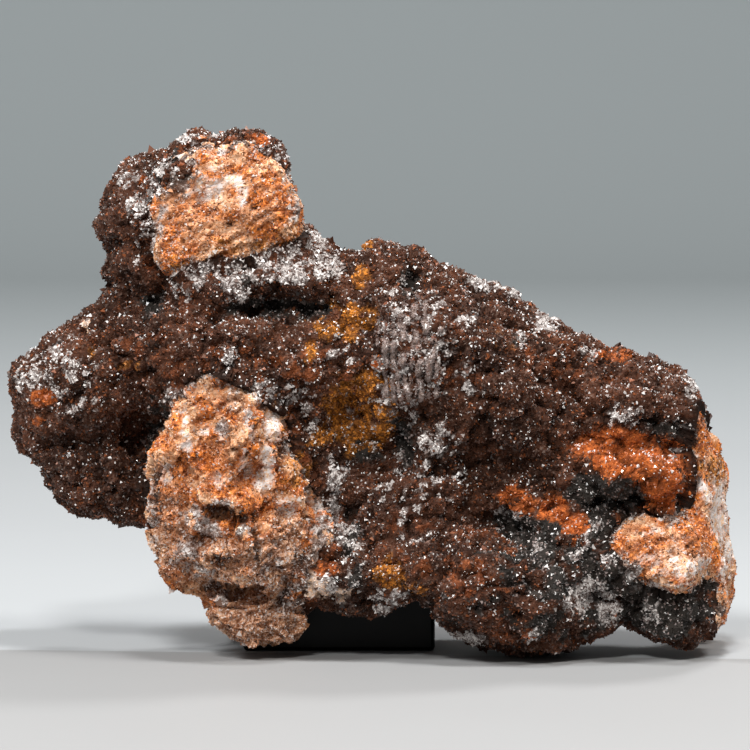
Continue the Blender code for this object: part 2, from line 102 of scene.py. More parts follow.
# Places on the crust, each (x, z, half width, half height, turn, amount). The turn is in
# degrees about the viewing axis, and the amount is the share of the place that is covered.
IRON_PLACES = [
    (33.2, 25.0, 7.2, 3.2, -12, 1.0),  # red band at the right
    (36.6, 20.8, 2.6, 2.6, -30, 1.0),  # its lower end
    (28.5, 25.8, 4.0, 1.4, -8, 0.7),
    (24.6, 17.2, 4.0, 3.0, -15, 0.85),  # step beside the cave
    (18.2, 19.5, 2.8, 1.8, -35, 0.8),  # small step over the cave
    (-41.3, 31.9, 1.9, 1.2, 15, 0.9),  # facet on the left arm
    (-42.0, 28.6, 1.4, 0.6, 0, 0.6),
    (31.0, 37.3, 3.0, 0.6, -12, 0.65),  # rim at the upper right
    (30.1, 5.7, 0.7, 0.9, 0, 1.0),  # spots in the pale clusters
    (25.3, 8.6, 0.5, 0.5, 0, 0.8),
    (20.9, 13.4, 0.8, 0.5, 0, 0.8),
    (19.7, 3.0, 0.8, 0.6, 0, 0.8),
    (-5.5, 11.3, 1.3, 1.1, 0, 0.9),  # beside the foot of the front mass
    (13.5, 10.9, 5.5, 5.5, 0, 0.32),  # rusty lower front
    (17.0, 4.5, 6.0, 3.0, 0, 0.28),
    (26.0, 36.0, 5.5, 2.5, -25, 0.30),
    (21.5, 37.6, 3.2, 1.2, -6, 0.35),
    (0.2, 36.7, 0.6, 1.4, -30, 1.0),  # fleck beside the ribs
    (-9.0, 36.0, 10.0, 3.5, -10, 0.33),
    (-25.0, 38.0, 9.0, 3.0, 0, 0.28),
    (-13.7, 64.1, 1.4, 0.8, -25, 0.9),  # on the knob's rim
    (-28.9, 59.4, 0.9, 0.4, 0, 0.9),
    (-28.5, 56.2, 2.5, 1.2, 0, 0.35),
    (9.0, 35.5, 1.4, 1.8, 0, 0.35),
    (5.0, 13.5, 4.0, 5.0, 0, 0.3),
    (-10.0, 38.0, 34.0, 9.0, 0, 0.17),
    (15.0, 40.0, 20.0, 8.0, -25, 0.15),
]
OCHRE_PLACES = [
    (-1.2, 30.2, 4.6, 5.4, -12, 0.98),  # the pit
    (-3.6, 41.9, 4.2, 2.3, 8, 0.9),  # under the crest
    (-1.1, 47.4, 1.0, 1.3, 0, 0.85),
    (-0.7, 50.9, 0.9, 0.6, 0, 0.8),
    (-7.6, 38.4, 0.8, 1.6, 0, 0.8),
    (2.4, 10.8, 1.7, 2.2, 20, 0.95),  # above the grey-rimmed lump
    (5.5, 8.6, 1.6, 0.9, 0, 0.6),
    (-8.9, 23.4, 2.2, 2.4, 0, 0.8),  # right shoulder of the front mass
    (-6.0, 27.5, 1.6, 1.2, 30, 0.9),
    (-17.0, 51.5, 8.0, 2.5, 8, 0.25),
    (-22.5, 50.0, 2.2, 2.6, 0, 0.35),
    (-35.1, 37.4, 0.25, 0.6, -20, 1.0),  # single blade on the left arm
    (-30.0, 36.3, 1.6, 0.8, 0, 0.45),
    (16.3, 39.8, 3.0, 2.0, 0, 0.2),
    (-12.5, 29.5, 2.2, 3.2, -10, 0.4),
]
# Where the crust is painted black: mostly painted shade in hollows, caves, grooves and slits, with
# some black druse
HOLLOW_SHADE_PLACES = [
    (29.5, 20.3, 4.8, 2.3, -12, 1.0),  # black hollow
    (29.5, 15.6, 2.0, 3.0, 30, 1.0),
    (19.7, 16.0, 3.8, 1.7, -4, 1.0),  # cave
    (24.6, 11.9, 4.6, 2.5, -10, 0.9),
    (21.0, 10.5, 6.0, 3.4, -10, 0.8),
    (25.0, 5.5, 7.0, 3.0, 0, 0.55),
    (14.0, 9.0, 8.0, 5.0, 0, 0.22),
    (37.0, 6.9, 6.0, 4.4, 0, 1.0),  # under the right ledge
    (30.8, 9.8, 3.2, 2.4, 0, 1.0),
    (39.2, 18.2, 1.3, 2.4, 10, 1.0),
    (36.2, 28.4, 4.0, 0.9, -8, 0.7),
    (4.9, 46.6, 1.2, 1.5, 0, 1.0),  # hole under the crest
    (3.9, 28.6, 1.4, 0.8, -20, 0.7),
    (-0.2, 25.8, 3.0, 1.4, 0, 0.5),
    (4.3, 26.6, 1.1, 3.0, 8, 1.0),
    (-2.2, 13.5, 1.2, 5.0, 4, 0.7),  # slit
    (-25.9, 24.5, 2.4, 7.0, 8, 0.6),  # recess beside the front mass
    (-11.0, 43.4, 7.0, 1.1, -2, 0.8),  # groove under the sill
    (-27.8, 43.6, 1.8, 1.3, 10, 0.8),
    (-25.0, 62.2, 0.8, 1.5, -25, 0.8),  # beside the knob's face
    (-27.4, 60.0, 1.5, 0.8, 0, 0.5),
    (-15.5, 47.1, 0.6, 0.6, 0, 1.0),
    (-18.2, 46.3, 0.6, 0.6, 0, 1.0),
    (18.1, 39.6, 0.4, 0.7, 0, 1.0),
]
FROST_PLACES = [
    (4.9, 37.6, 4.6, 8.4, -6, 0.36),  # ribbed slab
    (-3.2, 38.4, 2.5, 1.7, 0, 0.40),
    (8.5, 27.4, 2.4, 2.2, -10, 0.55),
    (-1.4, 29.5, 4.0, 4.6, -12, 0.10),  # specks in the pit
    (-21.3, 48.0, 1.1, 1.6, 0, 0.85),  # sill under the knob
    (-17.5, 47.4, 1.5, 1.4, 0, 0.85),
    (-12.2, 49.4, 3.0, 0.9, 14, 0.9),
    (-12.0, 47.9, 5.0, 1.1, 10, 0.5),
    (-9.1, 47.4, 1.4, 1.1, 0, 0.8),
    (-5.5, 48.5, 1.7, 1.4, 0, 0.85),
    (-6.8, 51.4, 1.3, 1.4, 0, 0.8),
    (-5.0, 52.6, 0.9, 0.8, 0, 0.9),
    (-9.3, 55.0, 2.0, 1.0, -20, 0.8),
    (-16.6, 44.9, 1.6, 0.7, 0, 0.6),
    (-23.5, 45.5, 1.8, 1.0, 0, 0.4),
    (-27.3, 58.1, 1.0, 1.2, 0, 0.85),  # collar of the knob
    (-29.4, 55.6, 1.1, 1.8, 10, 0.7),
    (-30.7, 59.2, 1.8, 0.8, 10, 0.75),
    (-25.6, 60.8, 1.3, 1.2, 0, 0.6),
    (-28.4, 51.5, 1.4, 2.4, 0, 0.35),
    (-22.4, 64.6, 2.2, 0.7, 12, 0.8),
    (-19.4, 65.2, 0.8, 0.8, 0, 0.9),
    (-12.8, 62.9, 2.2, 0.8, -25, 0.65),
    (-9.8, 59.5, 0.9, 1.6, 0, 0.55),
    (-43.1, 33.9, 1.6, 1.3, 0, 0.6),  # tip of the left arm
    (-37.7, 36.5, 1.2, 0.45, -15, 0.95),
    (-37.9, 34.9, 1.1, 0.45, -25, 0.95),
    (-39.9, 37.4, 0.7, 0.7, 0, 0.8),
    (-39.3, 32.7, 0.4, 0.7, 30, 0.9),
    (-40.0, 35.5, 5.5, 3.5, 15, 0.17),
    (-36.5, 30.9, 2.5, 1.4, 0, 0.22),
    (-17.8, 37.5, 0.7, 1.6, -15, 0.9),  # little clusters over the front mass
    (-18.6, 35.7, 0.8, 0.8, 0, 0.8),
    (-24.3, 32.5, 2.2, 0.9, 0, 0.8),
    (-21.6, 34.0, 1.0, 0.5, 0, 0.7),
    (-13.0, 33.8, 2.6, 0.8, -35, 0.65),
    (-8.6, 31.8, 1.9, 1.3, -30, 0.6),
    (-9.4, 33.9, 1.6, 0.9, 20, 0.45),
    (-7.6, 29.0, 0.8, 1.6, 0, 0.6),
    (25.9, 7.7, 2.1, 1.7, 20, 0.95),  # pale clusters at the foot
    (29.8, 6.3, 1.4, 1.9, 0, 0.95),
    (28.3, 8.9, 0.9, 1.0, 0, 0.85),
    (26.8, 10.0, 0.6, 0.7, 0, 0.9),
    (35.2, 5.7, 1.2, 1.4, 0, 0.6),
    (33.6, 10.0, 2.8, 0.5, -28, 0.7),
    (12.0, 2.2, 2.6, 0.9, -10, 0.85),
    (19.6, 3.4, 1.1, 0.9, 0, 0.85),
    (20.6, 13.7, 0.9, 0.5, 0, 0.75),
    (25.4, 13.2, 0.8, 0.5, 0, 0.7),
    (23.4, 0.8, 0.6, 0.4, 0, 0.7),
    (17.4, 17.6, 1.7, 0.35, -12, 0.95),  # lip of the small step
    (28.0, 16.4, 1.1, 0.4, 15, 0.9),
    (26.8, 14.7, 0.4, 0.9, -20, 0.8),
    (29.5, 12.8, 0.6, 1.0, 0, 0.6),
    (38.4, 25.6, 0.8, 0.6, 0, 0.9),
    (39.4, 17.3, 1.0, 0.9, 0, 0.6),
    (13.9, 46.3, 1.4, 0.6, -5, 0.8),  # pale rim
    (16.6, 46.1, 0.9, 0.6, 0, 0.9),
    (18.4, 44.9, 1.2, 0.6, -40, 0.85),
    (22.2, 41.1, 1.5, 0.8, -20, 0.65),
    (27.5, 37.6, 1.6, 0.7, -20, 0.5),
    (18.8, 39.6, 0.35, 0.9, 0, 0.9),
    (12.0, 42.4, 1.0, 1.0, 0, 0.45),
    (8.6, 38.6, 0.5, 1.6, -15, 0.8),
    (13.0, 35.0, 3.0, 2.0, 0, 0.22),
    (31.0, 30.3, 3.0, 1.4, 0, 0.33),
    (40.3, 33.1, 0.8, 1.2, 0, 0.5),
    (36.9, 29.4, 1.6, 0.5, 0, 0.6),
    (2.4, 7.1, 2.1, 1.7, 0, 0.55),  # grey-rimmed lump
    (-4.7, 21.5, 0.6, 2.8, 3, 0.9),  # ridge beside the front mass
    (-4.2, 17.0, 0.8, 2.8, 3, 0.95),
    (-3.6, 23.0, 0.9, 1.2, 0, 0.7),
    (-2.5, 12.5, 1.6, 4.0, 4, 0.30),
    (-5.2, 9.0, 0.9, 1.6, 0, 0.7),
    (5.6, 20.2, 4.6, 5.0, 0, 0.16),
    (8.0, 22.5, 3.0, 2.0, 0, 0.25),
]
PINK_PLACES = [
    (-7.4, 9.4, 0.8, 1.8, 0, 0.9),  # crystals beside the toe
    (-6.0, 8.6, 1.0, 1.3, 0, 0.9),
    (-3.6, 7.6, 1.3, 1.0, 0, 0.6),
]
ARM_GRAIN = [(-35.6, 41.4, 0.55, 0.6, 20, 1.0)]  # single pale grain on the left arm

# Places on its back
IRON_BEHIND = [
    (-4.0, 30.0, 20.0, 3.0, 5, 0.7),  # round the break
    (14.0, 20.0, 4.0, 12.0, 5, 0.7),
    (-22.0, 20.0, 6.0, 4.0, 0, 0.5),
    (26.0, 34.0, 8.0, 4.0, -25, 0.35),
    (-18.0, 56.0, 6.0, 5.0, 0, 0.35),
]
OCHRE_BEHIND = [(2.0, 14.0, 9.0, 4.0, 0, 0.8), (-30.0, 38.0, 5.0, 3.0, 0, 0.4)]
# Painted shade in hollows on the back, with some black druse
HOLLOW_SHADE_BEHIND = [(24.0, 14.0, 8.0, 8.0, 20, 0.7), (-8.0, 44.0, 9.0, 2.0, -8, 0.5)]
FROST_BEHIND = [
    (-10.0, 33.0, 12.0, 2.0, -10, 0.8),
    (20.0, 30.0, 5.0, 6.0, -30, 0.4),
    (30.0, 20.0, 4.0, 3.0, 0, 0.6),
    (-36.0, 32.0, 4.0, 4.0, 0, 0.4),
    (-20.0, 60.0, 5.0, 3.0, 0, 0.5),
]

# Where the crust is built up, with millimetres in place of the amount
BUILT_UP_PLACES = [
    (-17.5, 44.6, 3.4, 1.8, 5, 1.5),  # left part of the groove
    (-27.8, 43.4, 2.2, 1.6, 0, 0.9),  # notch at its end
    (-0.9, 29.0, 3.6, 4.2, -12, 1.3),  # pit
    (29.5, 19.0, 4.4, 3.2, -20, 1.6),  # black hollow
    (33.0, 9.5, 5.0, 4.0, 0, 1.2),  # under the right ledge
]

# Places on the barite, in the same form
WHITE_PLACES = [
    (-20.7, 58.3, 2.4, 1.6, -8, 0.85),  # window in the knob's face
    (-19.5, 62.3, 1.4, 2.3, -12, 0.6),
    (-16.2, 58.1, 0.6, 2.1, 5, 0.85),
    (-17.5, 59.2, 1.4, 0.9, 0, 0.85),
    (-10.4, 59.4, 0.8, 0.7, 0, 0.8),
    (-18.4, 56.8, 2.2, 0.8, 0, 0.45),
    (-23.5, 57.0, 1.2, 0.8, 0, 0.3),
    (-12.3, 28.9, 1.1, 1.9, 8, 1.0),  # streaks of the front mass
    (-12.8, 25.4, 0.9, 1.9, 5, 0.95),
    (-13.2, 22.5, 1.2, 1.4, -20, 1.0),
    (-14.7, 28.5, 0.5, 1.4, 15, 0.9),
    (-15.8, 24.4, 0.9, 1.9, 5, 0.7),
    (-18.7, 22.5, 1.0, 1.1, 0, 0.7),
    (-23.0, 27.3, 0.9, 1.3, 0, 0.85),
    (-23.0, 30.3, 0.45, 1.4, -12, 0.9),
    (-25.5, 23.2, 1.1, 1.5, 0, 0.65),
    (-20.8, 28.6, 0.8, 0.6, 0, 0.6),
    (-10.6, 19.2, 1.8, 1.2, -10, 0.75),
    (-7.0, 19.2, 1.9, 0.7, -30, 0.8),
    (-12.2, 14.6, 1.4, 0.5, 30, 0.6),
    (-15.0, 3.5, 5.0, 2.5, 0, 0.22),
    (36.5, 11.9, 4.2, 1.2, -14, 0.55),  # band across the ledge
    (40.7, 11.8, 1.1, 1.2, 0, 0.9),
    (38.0, 9.6, 3.5, 0.5, -12, 0.6),
    (38.6, 11.6, 2.6, 1.5, -15, 0.75),
    (34.6, 15.9, 2.0, 0.4, 8, 0.7),
    (-12.0, 53.0, 3.0, 1.4, 0, 0.2),
]
# Clefts in the barite, sunk into it and painted with the shade colour: painted shade
CLEFT_SHADE_PLACES = [
    (-18.7, 18.8, 1.8, 0.8, -8, 1.0),  # cleft across the front mass
    (-16.4, 18.0, 1.5, 0.7, -15, 0.9),
    (-21.5, 14.9, 1.1, 0.8, 0, 0.8),
    (-18.9, 12.7, 0.9, 0.8, 0, 0.7),
    (-18.2, 8.5, 2.8, 0.7, -4, 1.0),  # cleft over the toe
    (-11.2, 7.6, 0.9, 1.2, 0, 0.8),
    (-11.2, 24.9, 0.5, 1.9, 0, 0.9),  # beside the white streak
    (-10.2, 27.0, 1.2, 0.4, -10, 0.8),
    (-14.2, 15.5, 0.3, 3.4, 4, 0.8),
    (-8.6, 12.3, 0.7, 2.4, -20, 0.6),
    (-26.8, 20.0, 0.8, 4.0, 0, 0.5),
    (-14.5, 56.0, 0.5, 0.4, 0, 0.5),
    (-17.6, 54.0, 0.5, 0.4, 0, 0.5),
]
GREY_PLACES = [
    (-21.8, 17.9, 1.3, 1.3, 0, 0.9),  # crystals round the cleft
    (-20.1, 16.4, 1.5, 1.2, 0, 0.9),
    (-22.5, 13.9, 1.6, 1.2, 0, 0.9),
    (-18.4, 19.8, 1.4, 0.5, 0, 0.9),
    (-15.6, 16.3, 1.0, 0.7, 0, 0.8),
    (-18.4, 28.9, 0.9, 1.0, 0, 0.8),
    (-18.7, 7.4, 1.5, 0.7, 0, 0.85),
    (-10.6, 7.0, 1.2, 1.4, 0, 0.6),
    (-22.0, 11.0, 3.0, 1.2, -10, 0.4),
    (-6.0, 14.0, 1.6, 4.5, 10, 0.55),
    (-12.0, 12.0, 3.0, 3.0, 0, 0.25),
    (-15.0, 30.5, 0.8, 1.2, 40, 0.5),
    (-13.5, 31.8, 1.8, 0.5, -40, 0.7),
    (-27.4, 17.0, 0.6, 5.0, 0, 0.75),  # grey skin down the left edge
    (35.5, 9.0, 1.6, 0.6, -25, 0.8),
    (29.9, 12.4, 0.6, 1.2, 0, 0.7),
    (36.9, 17.0, 1.2, 0.6, 0, 0.7),
    (-27.0, 55.0, 1.2, 3.0, 0, 0.45),
    (-24.0, 61.0, 1.0, 0.8, 0, 0.5),
    (-20.0, 48.8, 6.0, 0.6, 8, 0.5),
    (-9.6, 56.5, 0.8, 2.5, 0, 0.4),
]
DULL_PLACES = [
    (-14.0, 3.8, 7.0, 4.6, 0, 0.9),  # toe
    (-16.0, 11.5, 9.0, 4.5, 0, 0.75),  # lower front mass
    (-25.0, 15.0, 3.0, 6.0, 0, 0.6),
    (-16.8, 32.3, 1.2, 1.4, 0, 1.0),  # purple-brown face at the top
    (-10.5, 16.5, 2.2, 2.4, 0, 0.7),
    (37.5, 13.0, 4.5, 3.0, 0, 0.5),  # ledge
]
ORANGE_PLACES = [  # where the stain is strong
    (40.8, 28.8, 1.3, 3.4, 5, 1.0),  # strip down the right end
    (39.7, 22.3, 1.1, 3.6, -3, 1.0),
    (40.7, 17.4, 0.9, 3.0, 22, 1.0),
    (42.7, 13.2, 0.9, 3.4, 22, 1.0),
    (33.4, 14.0, 2.6, 2.0, 10, 0.9),  # top of the ledge
    (-24.0, 54.5, 3.0, 3.0, 0, 0.5),  # knob
    (-14.0, 56.0, 3.0, 3.0, 0, 0.5),
    (-19.0, 25.5, 1.6, 3.4, 0, 0.8),  # veins of the front mass
    (-14.3, 25.6, 0.7, 3.4, 10, 0.9),
    (-13.2, 20.4, 2.8, 1.2, 0, 0.9),
    (-24.5, 20.0, 2.0, 5.0, 5, 0.5),
]

# Places at the right end, which run through the whole depth
WHITE_END = [
    (41.4, 21.0, 0.7, 1.9, 25, 0.95),
    (43.7, 18.6, 1.8, 3.4, 0, 1.0),
    (44.6, 11.9, 1.5, 2.9, 0, 1.0),
]
OCHRE_END = [(43.0, 23.4, 2.4, 1.5, 0, 0.85), (43.9, 14.8, 1.2, 1.1, 0, 0.85)]

CLOUD_TOP = 0.96  # the most that a cloud of blotches reaches


def ramp(values, start, end):
    """A smooth step from 0 at start to 1 at end."""
    share = np.clip((values - start) / (end - start), 0, 1)
    return share * share * (3 - 2 * share)


def noise_at(points, wavelength, level):
    """Smooth noise from about -1 to 1. level picks a different one."""
    lift = Vector((level, 2.3 * level, -1.7 * level))
    return np.array([noise.noise(Vector(p) / wavelength + lift) for p in points.tolist()])


def cloud_at(points, wavelength, level):
    """Blotches of two sizes, from 0 to 1 and about evenly spread between."""
    broad = 0.9 * noise_at(points, wavelength, level)
    fine = 0.5 * noise_at(points, wavelength * 0.4, level + 0.5)
    return np.clip(0.5 + (broad + fine), 0, CLOUD_TOP)


def true_place(x, z, depth):
    """Where a drawn (x, z) is in the frame, for something that lies this deep."""
    scale = 1 + depth / VIEW_DISTANCE
    height = (z - VIEW_HEIGHT) * scale + VIEW_HEIGHT - VIEW_SLOPE * depth - VIEW_DROP
    return np.array((x * scale, depth, height)) + FRAME_SHIFT


def along_place(gap_x, gap_z, turn):
    """Gaps to a place's middle, measured along its width and its height."""
    cos, sin = math.cos(math.radians(turn)), math.sin(math.radians(turn))
    return gap_x * cos + gap_z * sin, gap_z * cos - gap_x * sin


def place_weight(points, places, depths):
    """The amount of the strongest place at each point, which fades out round its edge."""
    middle, half_depth = depths
    weight = np.zeros(len(points))
    for x, z, half_x, half_z, turn, amount in places:
        gap = points - true_place(x, z, middle)
        wide, high = along_place(gap[:, 0], gap[:, 2], turn)
        deep = (gap[:, 1] / half_depth) ** 8
        reach = np.sqrt((wide / half_x) ** 2 + (high / half_z) ** 2 + deep)
        weight = np.maximum(weight, amount * ramp(reach, 1.4, 0.7))
    return weight


def covered(amount, cloud):
    """Crisp patches that fill this share of the surface."""
    return ramp(amount + cloud, 0.97, 1.08)


# Meshes


def vectors_of(mesh, name):
    flat = np.empty(len(mesh.vertices) * 3, np.float32)
    mesh.vertices.foreach_get(name, flat)
    return flat.reshape(-1, 3).astype(float)


def points_of(mesh):
    return vectors_of(mesh, "co") / MM


def normals_of(mesh):
    return vectors_of(mesh, "normal")


def inside_box(points):
    return np.clip(points, BOX_LOW + BOX_MARGIN, BOX_HIGH - BOX_MARGIN)


def crowding(points):
    """How much relief has to sink, so that its bumps stay whole inside the solids' box."""
    room = np.minimum(points - BOX_LOW, BOX_HIGH - points).min(axis=1)
    return np.clip(RELIEF_ROOM - room, 0, RELIEF_ROOM)


def move_points(mesh, points):
    mesh.vertices.foreach_set("co", (inside_box(points) * MM).astype(np.float32).ravel())
    mesh.update()


def new_mesh(name, points, faces):
    mesh = bpy.data.meshes.new(name)
    mesh.from_pydata((inside_box(points) * MM).tolist(), [], faces)
    mesh.update()
    return mesh


def mark(mesh, name, values):
    """Keeps one number a point for the shaders."""
    attribute = mesh.attributes.new(name, "FLOAT", "POINT")
    attribute.data.foreach_set("value", np.asarray(values, np.float32))


def kept(mesh, name):
    """The numbers that a mesh keeps under this name."""
    values = np.empty(len(mesh.vertices), np.float32)
    mesh.attributes[name].data.foreach_get("value", values)
    return values


def fine_copy(node, voxel, smoothing):
    """A CAD solid's surface, remeshed finely and relaxed so that its facets don't show."""
    obj = bpy.data.objects.new("fine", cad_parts[node].data.copy())
    bpy.context.scene.collection.objects.link(obj)
    remesh = obj.modifiers.new("fine", "REMESH")
    remesh.mode = "VOXEL"
    remesh.voxel_size = voxel * MM
    relax = obj.modifiers.new("relax", "SMOOTH")
    relax.factor = 0.5
    relax.iterations = smoothing
    graph = bpy.context.evaluated_depsgraph_get()
    mesh = bpy.data.meshes.new_from_object(obj.evaluated_get(graph))
    bpy.data.objects.remove(obj)
    mesh.materials.clear()
    return mesh


def spaced_centres(points, spacing, rng):
    """Points of the surface in random order, none nearer than the spacing to another."""
    taken = {}
    chosen = []
    for index in rng.permutation(len(points)).tolist():
        here = points[index]
        cell = tuple(np.floor(here / spacing).astype(int).tolist())
        near = (
            taken.get((cell[0] + i, cell[1] + j, cell[2] + k))
            for i in (-1, 0, 1)
            for j in (-1, 0, 1)
            for k in (-1, 0, 1)
        )
        if any(other is not None and np.sum((other - here) ** 2) < spacing**2 for other in near):
            continue
        taken[cell] = here
        chosen.append(index)
    return chosen


def knobs(points, spacing, radii, rise, rng):
    """The height of round knobs crowded over the surface: 0 in the valleys and up to 1."""
    tree = kdtree.KDTree(len(points))
    for index, point in enumerate(points.tolist()):
        tree.insert(point, index)
    tree.balance()
    height = np.zeros(len(points))
    for centre in spaced_centres(points, spacing, rng):
        radius = rng.uniform(*radii)
        for _, index, gap in tree.find_range(points[centre], radius):
            lift = rise * radius * math.sqrt(max(0.0, 1 - (gap / radius) ** 2))
            height[index] = max(height[index], lift)
    return height


def tree_of(mesh):
    """A mesh's faces, to be searched in millimetres."""
    corners = [tuple(point) for point in points_of(mesh).tolist()]
    return BVHTree.FromPolygons(corners, [tuple(face.vertices) for face in mesh.polygons])


TOUCHING = 1e-4  # a gap too small to give a direction


def gap_to(node, points, most):
    """How far each point is from a solid's surface, up to the most, and the way to it."""
    tree = tree_of(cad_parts[node].data)
    gaps = np.full(len(points), most)
    ways = np.zeros((len(points), 3))
    for index, point in enumerate(points.tolist()):
        found, _, _, gap = tree.find_nearest(point, most)
        if found is not None and gap > TOUCHING:
            gaps[index] = gap
            ways[index] = (found - Vector(point)) / gap
    return gaps, ways


def scatter(mesh, weight, count, rng):
    """Random places on the surface, by area times the weight of each point."""
    mesh.calc_loop_triangles()
    flat = np.empty(len(mesh.loop_triangles) * 3, np.int32)
    mesh.loop_triangles.foreach_get("vertices", flat)
    corners = flat.reshape(-1, 3)
    points, normals = points_of(mesh), normals_of(mesh)
    a, b, c = points[corners[:, 0]], points[corners[:, 1]], points[corners[:, 2]]
    area = np.linalg.norm(np.cross(b - a, c - a), axis=1) * weight[corners].mean(axis=1)
    chosen = rng.choice(len(corners), size=count, p=area / area.sum())
    first, second = rng.random(count), rng.random(count)
    flip = first + second > 1
    first[flip], second[flip] = 1 - first[flip], 1 - second[flip]
    share = np.column_stack([1 - first - second, first, second])
    own = corners[chosen]
    spots = np.einsum("nk,nkd->nd", share, points[own])
    facing = np.einsum("nk,nkd->nd", share, normals[own])
    facing /= np.linalg.norm(facing, axis=1)[:, None] + 1e-9
    return spots, facing, own[:, 0]


def leaning(axes, spread, rng):
    """The axes, each tipped by a random amount."""
    tipped = axes + rng.normal(0, spread, axes.shape)
    return tipped / np.linalg.norm(tipped, axis=1)[:, None]


SIDES = 3  # of one grain
GRAIN_POINTS = SIDES + 1
SUNK = 0.25  # how deep a grain's foot lies, as a share of its radius


def grain_mesh(name, spots, axes, radius, height, rng):
    """Pyramids that are closed underneath, as one mesh."""
    across = np.cross(axes, rng.normal(size=axes.shape))
    across /= np.linalg.norm(across, axis=1)[:, None]
    other = np.cross(axes, across)
    foot = spots - axes * (SUNK * radius)[:, None]
    corners = []
    for side in range(SIDES):
        angle = math.tau * side / SIDES
        way = math.cos(angle) * across + math.sin(angle) * other
        corners.append(foot + radius[:, None] * way)
    corners.append(spots + axes * height[:, None])
    pattern = [tuple(reversed(range(SIDES)))]
    pattern += [(side, (side + 1) % SIDES, SIDES) for side in range(SIDES)]
    starts = (np.arange(len(spots)) * GRAIN_POINTS)[:, None]
    faces = []
    for face in pattern:
        faces.extend((starts + np.array(face)).tolist())
    return new_mesh(name, np.stack(corners, axis=1).reshape(-1, 3), faces)


class Grains(NamedTuple):
    """Grains of one kind. A grain is low to high times its radius high, and base more."""

    count: int
    radius: float
    low: float
    high: float
    base: float = 0.0
    spread: float = 0.35
    lean: float = 0.5
    marks: tuple = ("grain",)


def grow(mesh, name, weight, grains, rng, marks=None):
    """Grains on a surface, which keep its marks and random ones of their own."""
    spots, axes, own = scatter(mesh, weight, grains.count, rng)
    radius = grains.radius * np.exp(rng.normal(0, grains.spread, grains.count))
    height = radius * rng.uniform(grains.low, grains.high, grains.count) + grains.base
    made = grain_mesh(name, spots, leaning(axes, grains.lean, rng), radius, height, rng)
    for key, values in (marks or {}).items():
        mark(made, key, np.repeat(values[own], GRAIN_POINTS))
    for key in grains.marks:
        mark(made, key, np.repeat(rng.random(grains.count), GRAIN_POINTS))
    return made


def add_piece(name, mesh, slot_name, finish, *replaced):
    """Links a mesh, gives it its finish and its body, and hides the solids that it stands for."""
    mesh.materials.clear()
    mesh.materials.append(finish)
    obj = bpy.data.objects.new(name, mesh)
    bpy.context.scene.collection.objects.link(obj)
    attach(obj, BODY)
    if replaced:
        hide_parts(*replaced)


# Shaders


class Number:
    """A number socket of a material, so that masks are written as plain arithmetic."""

    def __init__(self, tree, socket):
        self.tree = tree
        self.socket = socket

    def math(self, operation, *values):
        node = self.tree.nodes.new("ShaderNodeMath")
        node.operation = operation
        for socket, value in zip(node.inputs, values):
            connect(self.tree, socket, value)
        return Number(self.tree, node.outputs[0])

    def __add__(self, other):
        return self.math("ADD", self, other)

    __radd__ = __add__

    def __sub__(self, other):
        return self.math("SUBTRACT", self, other)

    def __rsub__(self, other):
        return self.math("SUBTRACT", other, self)

    def __mul__(self, other):
        return self.math("MULTIPLY", self, other)

    __rmul__ = __mul__

    def between(self, low, high):
        """0 below low, 1 above high and smooth in between."""
        node = self.tree.nodes.new("ShaderNodeMapRange")
        node.interpolation_type = "SMOOTHSTEP"
        connect(self.tree, node.inputs["Value"], self)
        node.inputs["From Min"].default_value = low
        node.inputs["From Max"].default_value = high
        return Number(self.tree, node.outputs[0])


def connect(tree, socket, value):
    """Links a socket to a Number or another socket, or sets its value."""
    if isinstance(value, Number):
        tree.links.new(value.socket, socket)
    elif isinstance(value, bpy.types.NodeSocket):
        tree.links.new(value, socket)
    elif hasattr(value, "__len__") and len(value) == 3 and socket.type == "RGBA":
        socket.default_value = (*value, 1.0)
    else:
        socket.default_value = value


class Finish:
    """A material that is built up node by node behind its Principled BSDF."""

    def __init__(self, name):
        self.material = bpy.data.materials.new(name)
        self.material.use_nodes = True
        self.tree = self.material.node_tree
        self.shader = self.tree.nodes["Principled BSDF"]

    def node(self, kind, settings=None, values=None):
        """A node of this kind, with its settings made first and then its sockets."""
        made = self.tree.nodes.new(kind)
        for name, value in (settings or {}).items():
            setattr(made, name, value)
        for name, value in (values or {}).items():
            connect(self.tree, made.inputs[name], value)
        return made

    def place(self):
        return self.node("ShaderNodeTexCoord").outputs["Object"]

    def grainy(self, wavelength, detail, roughness=0.55):
        """Noise of this wavelength in millimetres, from 0 to 1."""
        values = {
            "Vector": self.place(),
            "Scale": 1 / (wavelength * MM),
            "Detail": detail,
            "Roughness": roughness,
        }
        return Number(self.tree, self.node("ShaderNodeTexNoise", None, values).outputs[0])

    def marked(self, name):
        """The number that the mesh keeps under this name."""
        made = self.node("ShaderNodeAttribute", {"attribute_name": name})
        return Number(self.tree, made.outputs["Fac"])

    def mix(self, share, under, over):
        """One colour painted over another."""
        made = self.node("ShaderNodeMix", {"data_type": "RGBA"}, {0: share, 6: under, 7: over})
        return made.outputs[2]

    def bump(self, height, strength, distance):
        values = {"Height": height, "Strength": strength, "Distance": distance * MM}
        return self.node("ShaderNodeBump", None, values).outputs["Normal"]

    def set(self, **values):
        for name, value in values.items():
            socket = name.replace("_", " ").title().replace("Ior", "IOR")
            connect(self.tree, self.shader.inputs[socket], value)
        return self.material


def paint(finish, under, colours):
    """The marked minerals, painted over each other in order."""
    colour = under
    for name, tint in colours:
        colour = finish.mix(finish.marked(name), colour, tint)
    return colour


